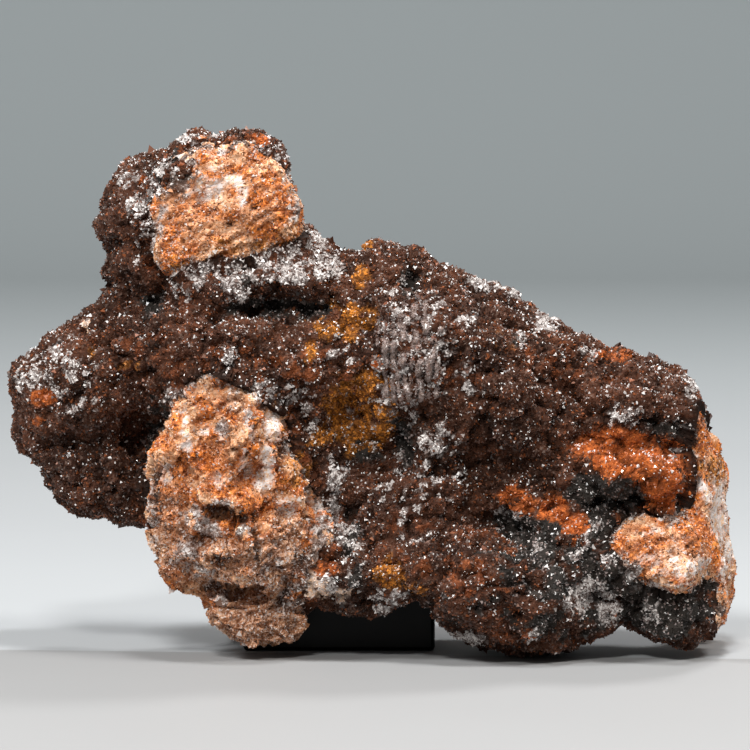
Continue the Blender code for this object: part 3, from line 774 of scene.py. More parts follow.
def crust_colour(finish, settings, tone):
    """The stains of the crust, and the black of its hollows, which is mostly painted shade. tone
    goes from 0, the darkest grains, to 1, the palest.
    """
    warm = finish.marked("warm")
    warmth = warm * 0.6 + tone.between(0.0, 0.6) * 0.4
    brown = finish.mix(warmth, settings.dark_brown, settings.red_brown)
    brown = finish.mix(tone.between(0.6, 0.95) * 0.6, brown, settings.grey_brown)
    brown = finish.mix(finish.marked("hue").between(0.8, 0.95) * 0.35, brown, settings.brick)
    iron = finish.mix(tone.between(0.1, 0.9), settings.rust, settings.brick)
    ochre = finish.mix(tone.between(0.25, 0.95), settings.umber, settings.ochre)
    soot = finish.mix(finish.marked("hue").between(0.72, 0.96), settings.soot, settings.mauve)
    frost = finish.mix(tone.between(0.1, 0.75), settings.grey_frost, settings.white_frost)
    pink = finish.mix(tone, settings.peach, settings.white_barite)
    return paint(
        finish,
        brown,
        [("iron", iron), ("ochre", ochre), ("soot", soot), ("frost", frost), ("pink", pink)],
    )


def crust_finish(settings):
    """The crust between its crystals, darkened in the valleys and on its hidden walls by painted
    shade.
    """
    finish = Finish("brown crust")
    fine = finish.grainy(0.45, 3.0, 0.6)
    colour = crust_colour(finish, settings, fine.between(0.3, 0.75))
    crest = finish.marked("crest")
    # Painted shade over the low places between the knobs and over the hidden walls, where crest is
    # 0
    return finish.set(
        base_color=finish.mix((1 - crest) * 0.93, colour, settings.shade),
        roughness=0.7 + 0.2 * fine,
        specular_ior_level=0.12,
        normal=finish.bump(finish.grainy(0.3, 3.0, 0.7), 0.7, 0.12),
    )


def druse_finish(settings):
    """Small stained crystals, each with a tone of its own."""
    finish = Finish("brown druse")
    grain = finish.marked("grain")
    crest = finish.marked("crest")
    # Painted shade: the grains' tone dims towards the valleys and the shade colour goes over them
    # there, less in the ochre
    colour = crust_colour(finish, settings, grain * (0.3 + 0.7 * crest))
    valley_shade = (1 - crest.between(0.1, 0.65)) * (1 - 0.4 * finish.marked("ochre"))
    return finish.set(
        base_color=finish.mix(valley_shade * 0.7, colour, settings.shade),
        roughness=0.12 + 0.3 * finish.marked("hue"),
        specular_ior_level=0.42,
    )


def barite_colour(finish, settings, tone):
    """Barite stained by iron, with white cleavage where the stain is thin and painted shade in its
    clefts.
    """
    warm = finish.marked("warm")
    strong = finish.mix(tone.between(0.1, 0.8), settings.rust, settings.orange)
    light = finish.mix(tone.between(0.1, 0.7), settings.tan, settings.peach)
    colour = finish.mix(warm, strong, light)
    dull = finish.mix(tone.between(0.2, 0.9), settings.dull_brown, settings.dull_pink)
    white = finish.mix(tone.between(0.0, 0.6), settings.peach, settings.white_barite)
    grey = finish.mix(tone.between(0.15, 0.85), settings.grey_brown, settings.white_frost)
    brown = finish.mix(tone, settings.dark_brown, settings.grey_brown)
    ochre = finish.mix(tone.between(0.15, 0.85), settings.umber, settings.ochre)
    return paint(
        finish,
        colour,
        [
            ("dull", dull),
            ("ochre", ochre),
            ("white", white),
            ("grey", grey),
            ("brown", brown),
            ("dark", settings.shade),
        ],
    )


def barite_finish(settings):
    """The broken faces of the barite."""
    finish = Finish("stained barite")
    broad = finish.grainy(1.1, 4.0, 0.65)
    fine = finish.grainy(0.3, 3.0, 0.65)
    colour = barite_colour(finish, settings, (0.5 * broad + 0.5 * fine).between(0.40, 0.60))
    pale = (fine + 0.05 * finish.marked("dull")).between(0.59, 0.65)
    colour = finish.mix(pale * 0.75, colour, settings.white_frost)
    colour = finish.mix((1 - fine.between(0.32, 0.40)) * 0.7, colour, settings.dull_brown)
    crest = finish.marked("crest")
    return finish.set(
        base_color=finish.mix((1 - crest) * 0.5, colour, settings.crack),
        roughness=0.5 + 0.25 * fine,
        specular_ior_level=0.3,
        normal=finish.bump(finish.grainy(0.22, 2.0, 0.6), 0.5, 0.08),
    )


def barite_druse_finish(settings):
    """Crumbs and small crystals on the barite."""
    finish = Finish("barite crumbs")
    grain = finish.marked("grain")
    crest = finish.marked("crest")
    colour = barite_colour(finish, settings, grain)
    pale = (grain + 0.12 * finish.marked("dull")).between(0.82, 0.92)
    colour = finish.mix(pale * 0.9, colour, settings.white_frost)
    colour = finish.mix((1 - grain.between(0.08, 0.2)) * 0.8, colour, settings.dark_brown)
    return finish.set(
        base_color=finish.mix((1 - crest) * 0.5, colour, settings.crack),
        roughness=0.18 + 0.35 * grain,
        specular_ior_level=0.4,
    )


def pale_finish(name, under, over):
    """Frosty crystals that differ from grain to grain."""
    finish = Finish(name)
    grain = finish.marked("grain")
    return finish.set(
        base_color=finish.mix(grain.between(0.0, 0.75), under, over),
        roughness=0.12 + 0.25 * grain,
        specular_ior_level=0.5,
    )


def rib_finish(settings):
    """Thin upright plates with a grey crust, brown where they are low, and painted shade in their
    slits.
    """
    finish = Finish("ribbed crust")
    fine = finish.grainy(0.5, 4.0, 0.7)
    crest = finish.marked("crest")
    low = finish.mix(fine.between(0.35, 0.65), settings.dark_brown, settings.red_brown)
    high = finish.mix(fine.between(0.35, 0.6), settings.grey_brown, settings.mauve)
    high = finish.mix((fine + crest * 0.25).between(0.62, 0.8), high, settings.white_frost)
    colour = finish.mix(crest.between(0.25, 0.7), low, high)
    colour = finish.mix(finish.marked("iron"), colour, settings.rust)
    # The slits are painted with the black of the hollows: painted shade.
    return finish.set(
        base_color=finish.mix(finish.marked("slit"), colour, settings.soot),
        roughness=0.45 + 0.25 * fine,
        specular_ior_level=0.4,
        normal=finish.bump(finish.grainy(0.3, 3.0, 0.7), 0.6, 0.1),
    )


def block_finish(settings):
    """Polished black plastic with a little dust and fine rubbing."""
    finish = Finish("polished black block")
    dust = finish.grainy(0.9, 4.0, 0.7)
    smear = finish.grainy(9.0, 2.0)
    return finish.set(
        base_color=finish.mix(dust.between(0.66, 0.8) * 0.25, settings.block_black, settings.dust),
        roughness=0.22 + 0.2 * smear,
        specular_ior_level=0.1,
        normal=finish.bump(dust, 0.04, 0.05),
    )


# Settings


def colour_property(name, description, value):
    return FloatVectorProperty(
        name=name, description=description, default=value, size=3, min=0.0, max=1.0, subtype="COLOR"
    )


def length_property(name, description, value):
    return FloatProperty(
        name=name, description=description, default=value * MM, min=0.0, unit="LENGTH", precision=5
    )


def count_property(name, description, value):
    return IntProperty(name=name, description=description, default=value, min=100)


COLOURS = {
    "dark_brown": ("Darkest stain of the druse", (0.025, 0.011, 0.007)),
    "red_brown": ("Warmer stain of the druse", (0.092, 0.034, 0.018)),
    "grey_brown": ("Crystals that are nearly clear", (0.21, 0.145, 0.115)),
    "rust": ("Deeper iron stain", (0.27, 0.065, 0.018)),
    "brick": ("Iron stain on the druse", (0.60, 0.16, 0.037)),
    "orange": ("Brighter iron stain", (0.84, 0.255, 0.042)),
    "umber": ("Dark yellow-brown stain", (0.19, 0.066, 0.014)),
    "ochre": ("Yellow-brown stain", (0.78, 0.29, 0.045)),
    # Black druse and painted shade in the hollows, caves and grooves of the crust and in the slits
    # of the ribs
    "soot": ("Black druse in the hollows", (0.034, 0.029, 0.025)),
    "grey_frost": ("Clear crystals over a dark ground", (0.15, 0.105, 0.09)),
    "white_frost": ("Milky crystals", (0.74, 0.69, 0.66)),
    # The next colour is a painted highlight: white grains that stand in for light thrown back by
    # facets
    "glint": ("Light thrown back by a facet", (0.95, 0.93, 0.91)),
    "mauve": ("Thin grey crust on the ribs", (0.33, 0.255, 0.235)),
    "peach": ("Barite with a thin stain", (0.86, 0.54, 0.33)),
    "tan": ("Duller stain on the barite", (0.66, 0.29, 0.12)),
    "dull_brown": ("Dirty barite", (0.27, 0.12, 0.06)),
    "dull_pink": ("Barite under a grey film", (0.78, 0.45, 0.28)),
    "white_barite": ("Clean cleavage", (0.86, 0.80, 0.77)),
    "crack": ("Stain in the cracks of the barite", (0.13, 0.038, 0.010)),
    # Painted shade: near black, over the valleys of the crust and its crystals, its hidden walls
    # and the barite's clefts
    "shade": ("Painted shade in the hollows", (0.010, 0.005, 0.003)),
    "block_black": ("The display block", (0.0022, 0.0022, 0.002)),
    "dust": ("Dust on the block", (0.05, 0.05, 0.05)),
}


class SpecimenColours(bpy.types.PropertyGroup):
    """The colours of the minerals and of the block, and the painted shade and highlights"""

    __annotations__ = {
        key: colour_property(key.replace("_", " ").capitalize(), text, value)
        for key, (text, value) in COLOURS.items()
    }


class CrustShape(bpy.types.PropertyGroup):
    """How fine the crust and the barite are"""

    quartz_voxel: length_property("Crust detail", "Size of the crust's finest faces", 0.52)
    barite_voxel: length_property("Barite detail", "Size of the barite's finest faces", 0.45)
    lump_spacing: length_property("Lump spacing", "Least distance between lumps", 2.0)
    lump_low: length_property("Smallest lump", "Least radius of a lump on the crust", 1.2)
    lump_high: length_property("Largest lump", "Greatest radius of a lump on the crust", 2.3)
    knob_spacing: length_property("Knob spacing", "Least distance between the knobs on them", 0.75)
    knob_low: length_property("Smallest knob", "Least radius of a knob", 0.45)
    knob_high: length_property("Largest knob", "Greatest radius of a knob", 0.95)
    inset: length_property("Inset", "How far the valleys lie inside the solid", 1.8)


class DruseShape(bpy.types.PropertyGroup):
    """The size and number of the crystals"""

    crystals: count_property("Crystals", "Small crystals on each half of the front", 42000)
    crystals_behind: count_property("Crystals behind", "Coarser crystals on the back", 15000)
    radius: length_property("Radius", "Mean radius of a small crystal", 0.19)
    frost: count_property("Pale crystals", "Larger crystals in the pale clusters", 10000)
    # The glints are painted highlights: white grains, not facets that reflect
    glints: count_property("Glints", "Crystals that throw back the light", 6600)


class StudioLayout(bpy.types.PropertyGroup):
    """The camera, the lights and the table"""

    distance: length_property("Distance", "From the camera to the specimen", 800.0)
    elevation: FloatProperty(
        name="Elevation",
        description="Angle of the camera above the table",
        default=math.radians(4.0),
        subtype="ANGLE",
    )
    width: length_property("Width", "Width of the view at the specimen", 93.9)
    centre_x: length_property("Centre across", "Middle of the view, across", 0.05)
    centre_z: length_property("Centre up", "Middle of the view, up", 34.6)
    table: colour_property("Table", "The table behind the specimen", (0.42, 0.435, 0.445))
    table_front: colour_property("Table front", "Before the specimen", (0.315, 0.315, 0.315))
    backdrop: colour_property("Backdrop", "Where the table rises far behind", (0.535, 0.59, 0.605))


# Seeds of the random draws
CRUST_SEED, FROST_SEED, RIB_SEED, BARITE_SEED = 7, 19, 29, 23

# The crust

BEHIND_SIZE = 1.7  # the crystals behind, over those in front


def crust_marks(points, normals, crest):
    """What mineral each point shows, and where shade is painted in the hollows."""
    front = ramp(normals[:, 1], 0.45, 0.1)
    iron = place_weight(points, IRON_PLACES, IN_FRONT) * front
    ochre = place_weight(points, OCHRE_PLACES, IN_FRONT) * front
    soot = place_weight(points, HOLLOW_SHADE_PLACES, IN_FRONT)
    frost = place_weight(points, FROST_PLACES, IN_FRONT) * (0.35 + 0.65 * front)
    iron = np.maximum(iron, place_weight(points, IRON_BEHIND, BEHIND))
    ochre = np.maximum(ochre, place_weight(points, OCHRE_BEHIND, BEHIND))
    ochre = np.maximum(ochre, place_weight(points, OCHRE_END, THROUGHOUT))
    soot = np.maximum(soot, place_weight(points, HOLLOW_SHADE_BEHIND, BEHIND))
    frost = np.maximum(frost, place_weight(points, FROST_BEHIND, BEHIND))
    gaps, _ = gap_to("barite_matrix", points, 3.0)
    iron = np.maximum(iron, ramp(gaps, 2.6, 0.9) * 0.38)
    stained = cloud_at(points, 1.8, 3.0)
    black = cloud_at(points, 2.4, 11.0)
    pale = 0.72 * frost + 0.3 * (crest - 0.6) * ramp(frost, 0.0, 0.3)
    pink = np.maximum(
        place_weight(points, PINK_PLACES, IN_FRONT), place_weight(points, ARM_GRAIN, ON_ARM)
    )
    return {
        "iron": covered(iron, stained) * ramp(iron, 0.0, 0.8),
        "ochre": covered(ochre * 0.9, CLOUD_TOP - stained) * ramp(ochre, 0.0, 0.7),
        "soot": covered(soot, black),
        "frost": covered(pale, cloud_at(points, 1.0, 7.0)),
        "pink": covered(pink, stained),
        "warm": ramp(noise_at(points, 5.0, 19.0), -0.35, 0.35),
        "crest": crest,
    }


def grown_crust(shape, rng):
    """The crust's fine surface: lumps over the masses of the solid, and knobs over the lumps."""
    mesh = fine_copy("quartz_druse", shape.quartz_voxel / MM, 2)
    points, normals = points_of(mesh), normals_of(mesh)
    gaps, ways = gap_to("barite_matrix", points, 1.6)
    hidden = np.einsum("nd,nd->n", ways, normals) > 0.35
    lumps = (shape.lump_low / MM, shape.lump_high / MM)
    knob_sizes = (shape.knob_low / MM, shape.knob_high / MM)
    broad = knobs(points, shape.lump_spacing / MM, lumps, 0.85, rng)
    small = knobs(points, shape.knob_spacing / MM, knob_sizes, 0.95, rng)
    rough = noise_at(points, 0.8, 1.0) * 0.14
    swell = 0.65 * noise_at(points, 5.5, 4.0) + place_weight(points, BUILT_UP_PLACES, IN_FRONT)
    rise = broad + small + rough + swell - shape.inset / MM - crowding(points)
    move_points(mesh, points + normals * np.where(hidden, gaps + 0.5, rise)[:, None])
    crest = 0.4 * ramp(broad, 0.2, 1.5) + 0.6 * ramp(small, 0.1, 0.75)
    return mesh, hidden, np.where(hidden, 0.0, crest)


class SPECIMEN_OT_crust(bpy.types.Operator):
    """Grow the brown crust and the small crystals that cover it"""

    bl_idname = "specimen.crust"
    bl_label = "Crust"

    def execute(self, context):
        scene = context.scene
        rng = np.random.default_rng(CRUST_SEED)
        mesh, hidden, crest = grown_crust(scene.crust_shape, rng)
        points, normals = points_of(mesh), normals_of(mesh)
        shown = np.where(hidden, 0.0, 1.0)
        marks = crust_marks(points, normals, crest)
        for name, values in marks.items():
            mark(mesh, name, values)
        mark(mesh, "shown", shown)
        finish = crust_finish(scene.specimen_colours)
        add_piece("quartz_crust", mesh, "quartz", finish, "quartz_druse")
        front = ramp(normals[:, 1], 0.35, 0.0) * ramp(points[:, 1], 12.0, 4.0)
        left = ramp(points[:, 0], 3.0, 1.0)
        druse = scene.druse_shape
        size = druse.radius / MM
        parts = {
            "druse_front_left": (shown * front * left, druse.crystals, size),
            "druse_front_right": (shown * front * (1 - left), druse.crystals, size),
            "druse_back": (shown * (1 - front), druse.crystals_behind, BEHIND_SIZE * size),
        }
        finish = druse_finish(scene.specimen_colours)
        for name, (weight, count, radius) in parts.items():
            grains = Grains(
                count, radius, 0.5, 1.15, spread=0.3, lean=0.36, marks=("grain", "hue")
            )
            add_piece(name, grow(mesh, name, weight, grains, rng, marks), "quartz", finish)
        scene["crust_mesh"] = mesh.name
        return {"FINISHED"}


class SPECIMEN_OT_frost(bpy.types.Operator):
    """Grow the pale crystals on the ridges of the crust, and white grains that are painted
    highlights
    """

    bl_idname = "specimen.frost"
    bl_label = "Pale crystals"

    def execute(self, context):
        scene = context.scene
        colours, druse = scene.specimen_colours, scene.druse_shape
        rng = np.random.default_rng(FROST_SEED)
        mesh = bpy.data.meshes[scene["crust_mesh"]]
        shown, crest, frost = kept(mesh, "shown"), kept(mesh, "crest"), kept(mesh, "frost")
        points, normals = points_of(mesh), normals_of(mesh)
        lit = ramp(normals[:, 2] + 0.4 * normals[:, 0] - 0.6 * normals[:, 1], -0.2, 0.9)
        busy = 0.5 + ramp(noise_at(points, 3.5, 61.0), -0.2, 0.4)
        finish = pale_finish("pale quartz", colours.grey_frost, colours.white_frost)
        weight = shown * (frost * (0.2 + 0.8 * crest) + 0.002)
        made = grow(mesh, "pale_crystals", weight, Grains(druse.frost, 0.19, 0.5, 1.2, 0.1), rng)
        add_piece("pale_crystals", made, "quartz", finish)
        # Painted highlights: white grains, most on lit crests that face the lights
        finish = pale_finish("glinting quartz", colours.white_frost, colours.glint)
        weight = shown * crest**2 * (0.12 + lit) * busy
        made = grow(mesh, "glints", weight, Grains(druse.glints, 0.125, 0.6, 1.0, 0.1), rng)
        add_piece("glints", made, "quartz", finish)
        return {"FINISHED"}


# The ribs

RIB_LOW = np.array((0.2, 30.2))
RIB_HIGH = np.array((8.9, 45.8))
RIB_GRID = 0.16
RIB_WIDTH = 0.85
RIB_THICKNESS = 1.6
RIB_SUNK, RIB_RISE = 0.7, 1.9  # where the slab starts behind the crust, and its tallest rib
WALL_SMOOTHING = 14
RIB_CRYSTALS = Grains(3600, 0.12, 0.5, 1.0, 0.1)
RAY_START, RAY_LENGTH = -20.0, 40.0
RIB_SLITS = [  # middle, half width, half height and turn
    (4.7, 38.4, 0.28, 2.0, 4),
    (3.8, 33.3, 0.18, 1.4, -4),
    (5.4, 33.3, 0.24, 1.2, 0),
    (7.7, 38.2, 0.28, 1.0, -15),
    (1.4, 35.3, 0.24, 1.2, -8),
    (2.6, 41.5, 0.22, 1.6, 8),
    (6.4, 42.4, 0.2, 1.2, -6),
]


def rib_profile(x, z):
    """How far the upright plates stand out, from 0 to 1, and their slits."""
    places = np.column_stack([x, np.zeros(len(x)), z])
    fan = (x - 4.0) / (1 + 0.035 * (z - 31))
    fan = fan + 0.9 * noise_at(places, 5.0, 71.0) + 0.25 * noise_at(places, 1.4, 72.0)
    across = fan / RIB_WIDTH
    plate = np.floor(across)
    inside = across - plate
    blade = np.clip(1.25 * np.minimum(inside / 0.22, (1 - inside) / 0.55), 0, 1)
    along = np.column_stack([plate * 5.3, np.zeros(len(x)), z])
    broken = 0.5 + 0.9 * noise_at(along, 2.6, 73.0) + 0.5 * noise_at(along, 1.0, 74.0)
    high = blade * np.clip(broken, 0.1, 1.1) * (0.4 + 0.6 * ramp(z, 44.5, 41.5))
    slit = np.zeros(len(x))
    for middle_x, middle_z, half_x, half_z, turn in RIB_SLITS:
        wide, tall = along_place(x - middle_x, z - middle_z, turn)
        slit = np.maximum(slit, ramp(np.hypot(wide / half_x, tall / half_z), 1.15, 0.75))
    return high * (1 - slit), slit


def crust_behind(mesh, starts, shape):
    """How deep the crust lies behind each point of a grid, smoothed."""
    tree = tree_of(mesh)
    wall = np.full(len(starts), np.nan)
    for index, start in enumerate(starts.tolist()):
        found = tree.ray_cast(start, (0, 1, 0), RAY_LENGTH)[0]
        if found is not None:
            wall[index] = found[1]
    grid = np.where(np.isnan(wall), np.nanmax(wall), wall).reshape(shape)
    for _ in range(WALL_SMOOTHING):
        padded = np.pad(grid, 1, mode="edge")
        grid = (
            padded[:-2, 1:-1] + padded[2:, 1:-1] + padded[1:-1, :-2] + padded[1:-1, 2:]
        ) / 4
    return grid.ravel()


def slab_mesh(name, front, shape, thickness):
    """A closed slab behind a grid of front points, seen from -Y with its rows going up."""
    front = inside_box(front)
    back = front + (0, thickness, 0)
    count = len(front)
    number = np.arange(count).reshape(shape)
    a, b = number[:-1, :-1].ravel(), number[:-1, 1:].ravel()
    c, d = number[1:, 1:].ravel(), number[1:, :-1].ravel()
    faces = np.column_stack([a, b, c, d]).tolist()
    faces += (np.column_stack([a, d, c, b]) + count).tolist()
    rim = [*number[0, :-1], *number[:-1, -1], *number[-1, :0:-1], *number[:0:-1, 0]]
    for here, following in zip(rim, rim[1:] + rim[:1]):
        faces.append([int(here), int(here + count), int(following + count), int(following)])
    return new_mesh(name, np.vstack([front, back]), faces)


def rib_inside(x, z, spots):
    """1 on the slab and 0 outside it, with a ragged edge that is nearly a rectangle."""
    middle, half = (RIB_LOW + RIB_HIGH) / 2, (RIB_HIGH - RIB_LOW) / 2
    across, up = np.abs((x - middle[0]) / half[0]), np.abs((z - middle[1]) / half[1])
    edge = (across**3 + up**3) ** (1 / 3)
    edge = edge + 0.24 * noise_at(spots, 2.2, 75.0) + 0.12 * noise_at(spots, 0.8, 76.0)
    return ramp(edge, 1.0, 0.82)


class SPECIMEN_OT_ribs(bpy.types.Operator):
    """Build the slab of thin upright plates in the middle of the front"""

    bl_idname = "specimen.ribs"
    bl_label = "Ribs"

    def execute(self, context):
        scene = context.scene
        steps = np.round((RIB_HIGH - RIB_LOW) / RIB_GRID).astype(int) + 1
        lines = [np.linspace(RIB_LOW[i], RIB_HIGH[i], steps[i]) for i in (0, 1)]
        columns, rows = np.meshgrid(*lines)
        x, z = columns.ravel(), rows.ravel()
        spots = np.column_stack([x, np.zeros(len(x)), z])
        starts = np.array([true_place(a, b, RAY_START) for a, b in zip(x, z)])
        wall = crust_behind(bpy.data.meshes[scene["crust_mesh"]], starts, columns.shape)
        high, slit = rib_profile(x, z)
        inside = rib_inside(x, z, spots)
        depth = wall + RIB_SUNK - RIB_RISE * high * inside - 0.25 * inside + (1 - inside) * 1.2
        front = np.column_stack([starts[:, 0], depth, starts[:, 2]])
        mesh = slab_mesh("ribs", front, columns.shape, RIB_THICKNESS)
        rusty = covered(0.12 + 0.35 * ramp(z, 34.0, 31.0), cloud_at(spots, 1.3, 77.0))
        for name, values in (("crest", high), ("slit", slit), ("iron", rusty * 0.5)):
            mark(mesh, name, np.tile(values, 2))
        colours = scene.specimen_colours
        add_piece("ribs", mesh, "quartz", rib_finish(colours))
        shown = inside * (high > 0.2) * (0.15 + high) * (1 - slit)
        weight = np.concatenate([shown, np.zeros(len(x))])
        rng = np.random.default_rng(RIB_SEED)
        made = grow(mesh, "rib_crystals", weight, RIB_CRYSTALS, rng)
        finish = pale_finish("grey rib crystals", colours.grey_brown, colours.mauve)
        add_piece("rib_crystals", made, "quartz", finish)
        return {"FINISHED"}


# The barite

# Where the barite's cleavage steps face, as three square unit vectors
CLEAVAGE_AXES = ((0.87, -0.17, 0.46), (0.10, 0.98, 0.17), (-0.48, -0.10, 0.87))
BIG_STEPS, SMALL_STEPS = (3.4, 2.6, 2.0), (1.2, 0.9, 0.7)
CRUMBS = Grains(42000, 0.16, 0.5, 1.2)


def barite_marks(points, crest):
    """What each point of the barite shows."""
    wander = 5.0 * noise_at(points, 6.0, 83.0) * ramp(points[:, 1], -10.0, 0.0)
    waved = points + np.column_stack([np.zeros(len(points)), np.zeros(len(points)), wander])
    white = place_weight(points, WHITE_PLACES, IN_FRONT)
    white = np.maximum(white, place_weight(waved, WHITE_END, THROUGHOUT))
    ochre = 0.7 * place_weight(points, OCHRE_PLACES, IN_FRONT)
    ochre = np.maximum(ochre, place_weight(waved, OCHRE_END, THROUGHOUT))
    # dark is painted shade in the clefts
    dark = place_weight(points, CLEFT_SHADE_PLACES, IN_FRONT)
    grey = place_weight(points, GREY_PLACES, IN_FRONT)
    dull = place_weight(points, DULL_PLACES, IN_FRONT)
    gaps, _ = gap_to("quartz_druse", points, 3.0)
    fringe = ramp(gaps, 2.4, 0.7)
    stain = place_weight(waved, ORANGE_PLACES, THROUGHOUT)
    cloud = cloud_at(points, 1.0, 23.0)
    return {
        "white": ramp(white + 0.7 * cloud, 0.85, 1.3),
        "ochre": covered(ochre, cloud_at(points, 1.6, 25.0)),
        "dark": covered(dark, cloud_at(points, 0.8, 27.0)),
        "grey": covered(np.maximum(grey, 0.45 * fringe) + 0.03, cloud),
        "brown": covered((0.55 * fringe + 0.04) * (1 - white), cloud_at(points, 1.3, 29.0)),
        "dull": ramp(dull + 0.5 * cloud_at(points, 1.5, 37.0), 0.5, 1.1) * 0.85,
        "warm": ramp(noise_at(points, 2.2, 35.0), -0.2, 0.35) * (1 - stain),
        "crest": crest,
    }


def broken_barite(shape, rng):
    """The barite's fine surface: cleavage steps, cracks and a granular crust."""
    mesh = fine_copy("barite_matrix", shape.barite_voxel / MM, 1)
    points, normals = points_of(mesh), normals_of(mesh)
    clean = np.maximum(
        0.9 * place_weight(points, WHITE_PLACES, IN_FRONT), 0.75 * ramp(points[:, 0], 38.5, 40.5)
    )
    warp = np.column_stack([noise_at(points, 3.0, level) for level in (31.0, 32.0, 33.0)])
    turned = (points + warp * 1.2) @ np.array(CLEAVAGE_AXES).T
    steps = np.array([noise.cell(Vector(p)) for p in (turned / BIG_STEPS).tolist()])
    small = np.array([noise.cell(Vector(p)) for p in (turned / SMALL_STEPS).tolist()])
    crack = np.clip(1 - np.abs(noise_at(turned, 3.6, 41.0)) * 7, 0, 1) ** 2
    crack = crack * ramp(noise_at(points, 7.0, 43.0), -0.1, 0.3)
    cleft = place_weight(points, CLEFT_SHADE_PLACES, IN_FRONT)
    bumps = knobs(points, 0.5, (0.3, 0.6), 0.5, rng)
    fine = (1 - 0.8 * clean) * (bumps + 0.35 * small + 0.12 * noise_at(points, 0.6, 45.0))
    bold = 0.12 + 0.8 * ramp(points[:, 2], 46.0, 40.0) * ramp(points[:, 0], 32.0, 24.0)
    swell = 0.9 * noise_at(points, 2.8, 47.0)
    rise = bold * (0.7 * steps + swell - crack) + fine - 0.25 - 0.35 * bold - 1.3 * cleft
    gaps, _ = gap_to("quartz_druse", points, 2.5)
    joined = ramp(gaps, 1.6, 0.8)
    rise = rise * (1 - joined) + (0.3 + 0.3 * small) * joined - crowding(points)
    move_points(mesh, points + normals * rise[:, None])
    high = fine + 0.3 * bold * (steps + swell) + 0.35 * clean + 0.3 * joined
    return mesh, ramp(high, 0.0, 0.5) * (1 - crack) * (1 - 0.6 * cleft)


class SPECIMEN_OT_barite(bpy.types.Operator):
    """Break up the surface of the barite and scatter crumbs and crystals on it"""

    bl_idname = "specimen.barite"
    bl_label = "Barite"

    def execute(self, context):
        scene = context.scene
        colours = scene.specimen_colours
        rng = np.random.default_rng(BARITE_SEED)
        mesh, crest = broken_barite(scene.crust_shape, rng)
        points, normals = points_of(mesh), normals_of(mesh)
        marks = barite_marks(points, crest)
        for name, values in marks.items():
            mark(mesh, name, values)
        add_piece("barite_masses", mesh, "barite", barite_finish(colours), "barite_matrix")
        gaps, ways = gap_to("quartz_druse", points, 2.0)
        open_air = np.einsum("nd,nd->n", ways, normals) < 0.4
        weight = (1 - 0.7 * ramp(marks["white"], 0.5, 1.0)) * (0.8 + ramp(gaps, 2.0, 0.6))
        weight = weight * open_air * (0.6 + ramp(noise_at(points, 2.0, 51.0), -0.1, 0.4))
        weight = weight * (0.25 + 0.75 * ramp(normals[:, 1], 0.5, 0.1))
        made = grow(mesh, "barite_druse", weight, CRUMBS, rng, marks)
        add_piece("barite_druse", made, "barite", barite_druse_finish(colours))
        return {"FINISHED"}


# The block


class SPECIMEN_OT_block(bpy.types.Operator):
    """Polish the display block"""

    bl_idname = "specimen.block"
    bl_label = "Display block"

    def execute(self, context):
        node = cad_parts["display_block"]
        node.data.materials.clear()
        node.data.materials.append(block_finish(context.scene.specimen_colours))
        return {"FINISHED"}


# The studio

# Name, azimuth, elevation, distance, size, power and colour. Azimuth 0 is at the camera, and 90
# at the right.
LIGHTS = (
    ("key", 56, 54, 700, 180, 2.3, (1.0, 0.98, 0.95)),
    ("front", -10, 40, 700, 110, 2.5, (1.0, 0.99, 0.97)),
    ("top", 20, 78, 600, 110, 2.0, (0.98, 0.99, 1.0)),
    ("left", -58, 46, 700, 160, 3.1, (0.98, 0.99, 1.0)),
    ("back", 160, 50, 700, 120, 1.8, (1.0, 1.0, 1.0)),
)
AIM_HEIGHT = 30
WORLD_COLOUR = (0.86, 0.85, 0.84, 1.0)
WORLD_STRENGTH = 0.25

# The table: its half width, where it begins and begins to curve, and the curve's radius, angle
# and steps
TABLE_SIDE = 1500.0
TABLE_START, CURVE_START = -900.0, 850.0
CURVE_RADIUS, CURVE_ANGLE, CURVE_STEPS = 250.0, 60, 8

# In metres: the table's front edge, which slants, and where the backdrop's colour comes in
EDGE_SLANT, EDGE_START, EDGE_END = 0.11, -0.0055, -0.0045
BACKDROP_START, BACKDROP_END = 0.15, 0.95

SENSOR_WIDTH = 36.0
CLIP_NEAR, CLIP_FAR = 0.05, 20.0


def add_light(name, azimuth, elevation, distance, size, power, colour):
    """A round softbox aimed at the specimen."""
    data = bpy.data.lights.new(name, "AREA")
    data.shape = "DISK"
    data.size = size * MM
    data.energy = power
    data.color = colour
    obj = bpy.data.objects.new(name, data)
    bpy.context.scene.collection.objects.link(obj)
    turn, lift = math.radians(azimuth), math.radians(elevation)
    flat = math.cos(lift)
    way = Vector((math.sin(turn) * flat, -math.cos(turn) * flat, math.sin(lift)))
    obj.location = Vector((0, 0, AIM_HEIGHT * MM)) + way * distance * MM
    obj.rotation_euler = way.to_track_quat("Z", "Y").to_euler()


def table_finish(studio):
    """A pale table that is brighter in front of the specimen and darkens far behind it."""
    finish = Finish("pale table")
    split = finish.node("ShaderNodeSeparateXYZ", None, {"Vector": finish.place()})
    depth = Number(finish.tree, split.outputs["Y"])
    mottle = finish.grainy(40.0, 2.0)
    edge = depth + EDGE_SLANT * Number(finish.tree, split.outputs["X"])
    near = finish.mix(edge.between(EDGE_START, EDGE_END), studio.table_front, studio.table)
    far = finish.mix(depth.between(BACKDROP_START, BACKDROP_END), near, studio.backdrop)
    return finish.set(base_color=far, roughness=0.55 + 0.1 * mottle)


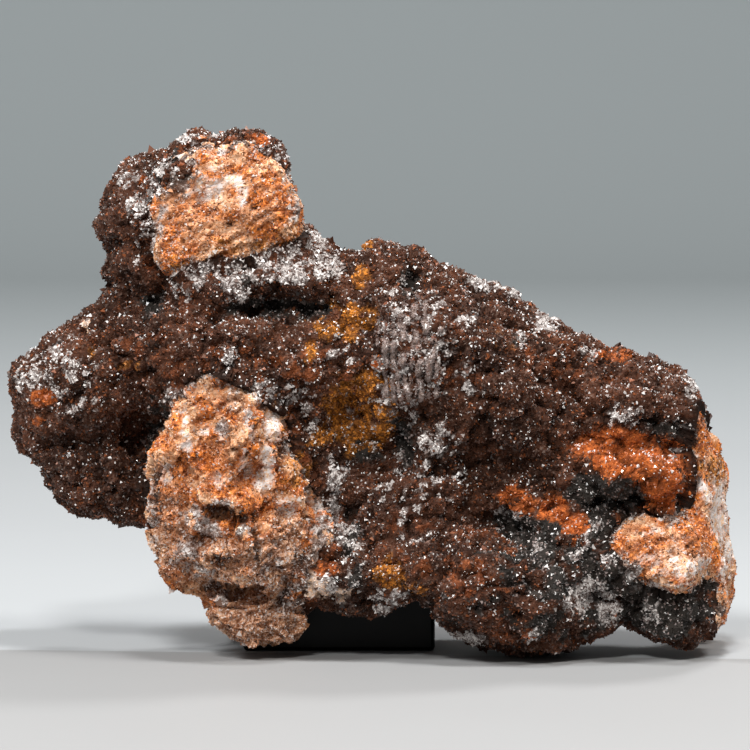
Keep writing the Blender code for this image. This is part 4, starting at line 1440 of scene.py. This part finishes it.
def sweep_mesh():
    """The table, which curves up into the backdrop."""
    profile = [(TABLE_START, 0.0), (-30.0, 0.0), (40.0, 0.0), (CURVE_START, 0.0)]
    for step in range(1, CURVE_STEPS + 1):
        angle = math.radians(CURVE_ANGLE * step / CURVE_STEPS)
        along, up = CURVE_RADIUS * math.sin(angle), CURVE_RADIUS * math.cos(angle)
        profile.append((CURVE_START + along, CURVE_RADIUS - up))
    work = bmesh.new()
    last = None
    for y, z in profile:
        pair = [work.verts.new((x * MM, y * MM, z * MM)) for x in (-TABLE_SIDE, TABLE_SIDE)]
        if last:
            work.faces.new((last[0], last[1], pair[1], pair[0]))
        last = pair
    mesh = bpy.data.meshes.new("sweep")
    work.to_mesh(mesh)
    work.free()
    mesh.shade_smooth()
    return mesh


class SPECIMEN_OT_studio(bpy.types.Operator):
    """Set up the table, the backdrop, the lights and the camera"""

    bl_idname = "specimen.studio"
    bl_label = "Studio"

    def execute(self, context):
        scene = context.scene
        studio = scene.studio_layout
        mesh = sweep_mesh()
        mesh.materials.append(table_finish(studio))
        sweep = bpy.data.objects.new("table", mesh)
        scene.collection.objects.link(sweep)
        for light in LIGHTS:
            add_light(*light)
        world = bpy.data.worlds.new("studio")
        scene.world = world
        world.use_nodes = True
        sky = world.node_tree.nodes["Background"].inputs
        sky["Color"].default_value = WORLD_COLOUR
        sky["Strength"].default_value = WORLD_STRENGTH
        scene.view_settings.view_transform = "Standard"
        self.add_camera(scene, studio)
        return {"FINISHED"}

    def add_camera(self, scene, studio):
        data = bpy.data.cameras.new("camera")
        data.sensor_width = SENSOR_WIDTH
        data.lens = data.sensor_width * studio.distance / studio.width
        data.clip_start, data.clip_end = CLIP_NEAR, CLIP_FAR
        camera = bpy.data.objects.new("camera", data)
        scene.collection.objects.link(camera)
        back = Vector((0, -math.cos(studio.elevation), math.sin(studio.elevation)))
        camera.location = Vector((studio.centre_x, 0, studio.centre_z)) + back * studio.distance
        camera.rotation_euler = back.to_track_quat("Z", "Y").to_euler()
        scene.camera = camera


class SPECIMEN_PT_panel(bpy.types.Panel):
    """The steps that dress the specimen, in order"""

    bl_idname = "SPECIMEN_PT_panel"
    bl_label = "Quartz on Barite"
    bl_space_type = "VIEW_3D"
    bl_region_type = "UI"
    bl_category = "Specimen"

    def draw(self, context):
        scene = context.scene
        for key in GROUPS:
            group = getattr(scene, key)
            box = self.layout.box()
            for name in group.bl_rna.properties.keys():
                if name not in ("rna_type", "name"):
                    box.prop(group, name)
        for step in STEPS:
            self.layout.operator(step.bl_idname)


STEPS = (
    SPECIMEN_OT_crust,
    SPECIMEN_OT_frost,
    SPECIMEN_OT_ribs,
    SPECIMEN_OT_barite,
    SPECIMEN_OT_block,
    SPECIMEN_OT_studio,
)
GROUPS = {
    "specimen_colours": SpecimenColours,
    "crust_shape": CrustShape,
    "druse_shape": DruseShape,
    "studio_layout": StudioLayout,
}


def register():
    for group in GROUPS.values():
        bpy.utils.register_class(group)
    for name, group in GROUPS.items():
        setattr(bpy.types.Scene, name, PointerProperty(type=group))
    for step in STEPS:
        bpy.utils.register_class(step)
    bpy.utils.register_class(SPECIMEN_PT_panel)


def unregister():
    bpy.utils.unregister_class(SPECIMEN_PT_panel)
    for step in STEPS:
        bpy.utils.unregister_class(step)
    for name, group in GROUPS.items():
        delattr(bpy.types.Scene, name)
        bpy.utils.unregister_class(group)


def main():
    register()
    bpy.ops.specimen.crust()
    bpy.ops.specimen.frost()
    bpy.ops.specimen.ribs()
    bpy.ops.specimen.barite()
    bpy.ops.specimen.block()
    bpy.ops.specimen.studio()


if __name__ == "__main__":
    main()
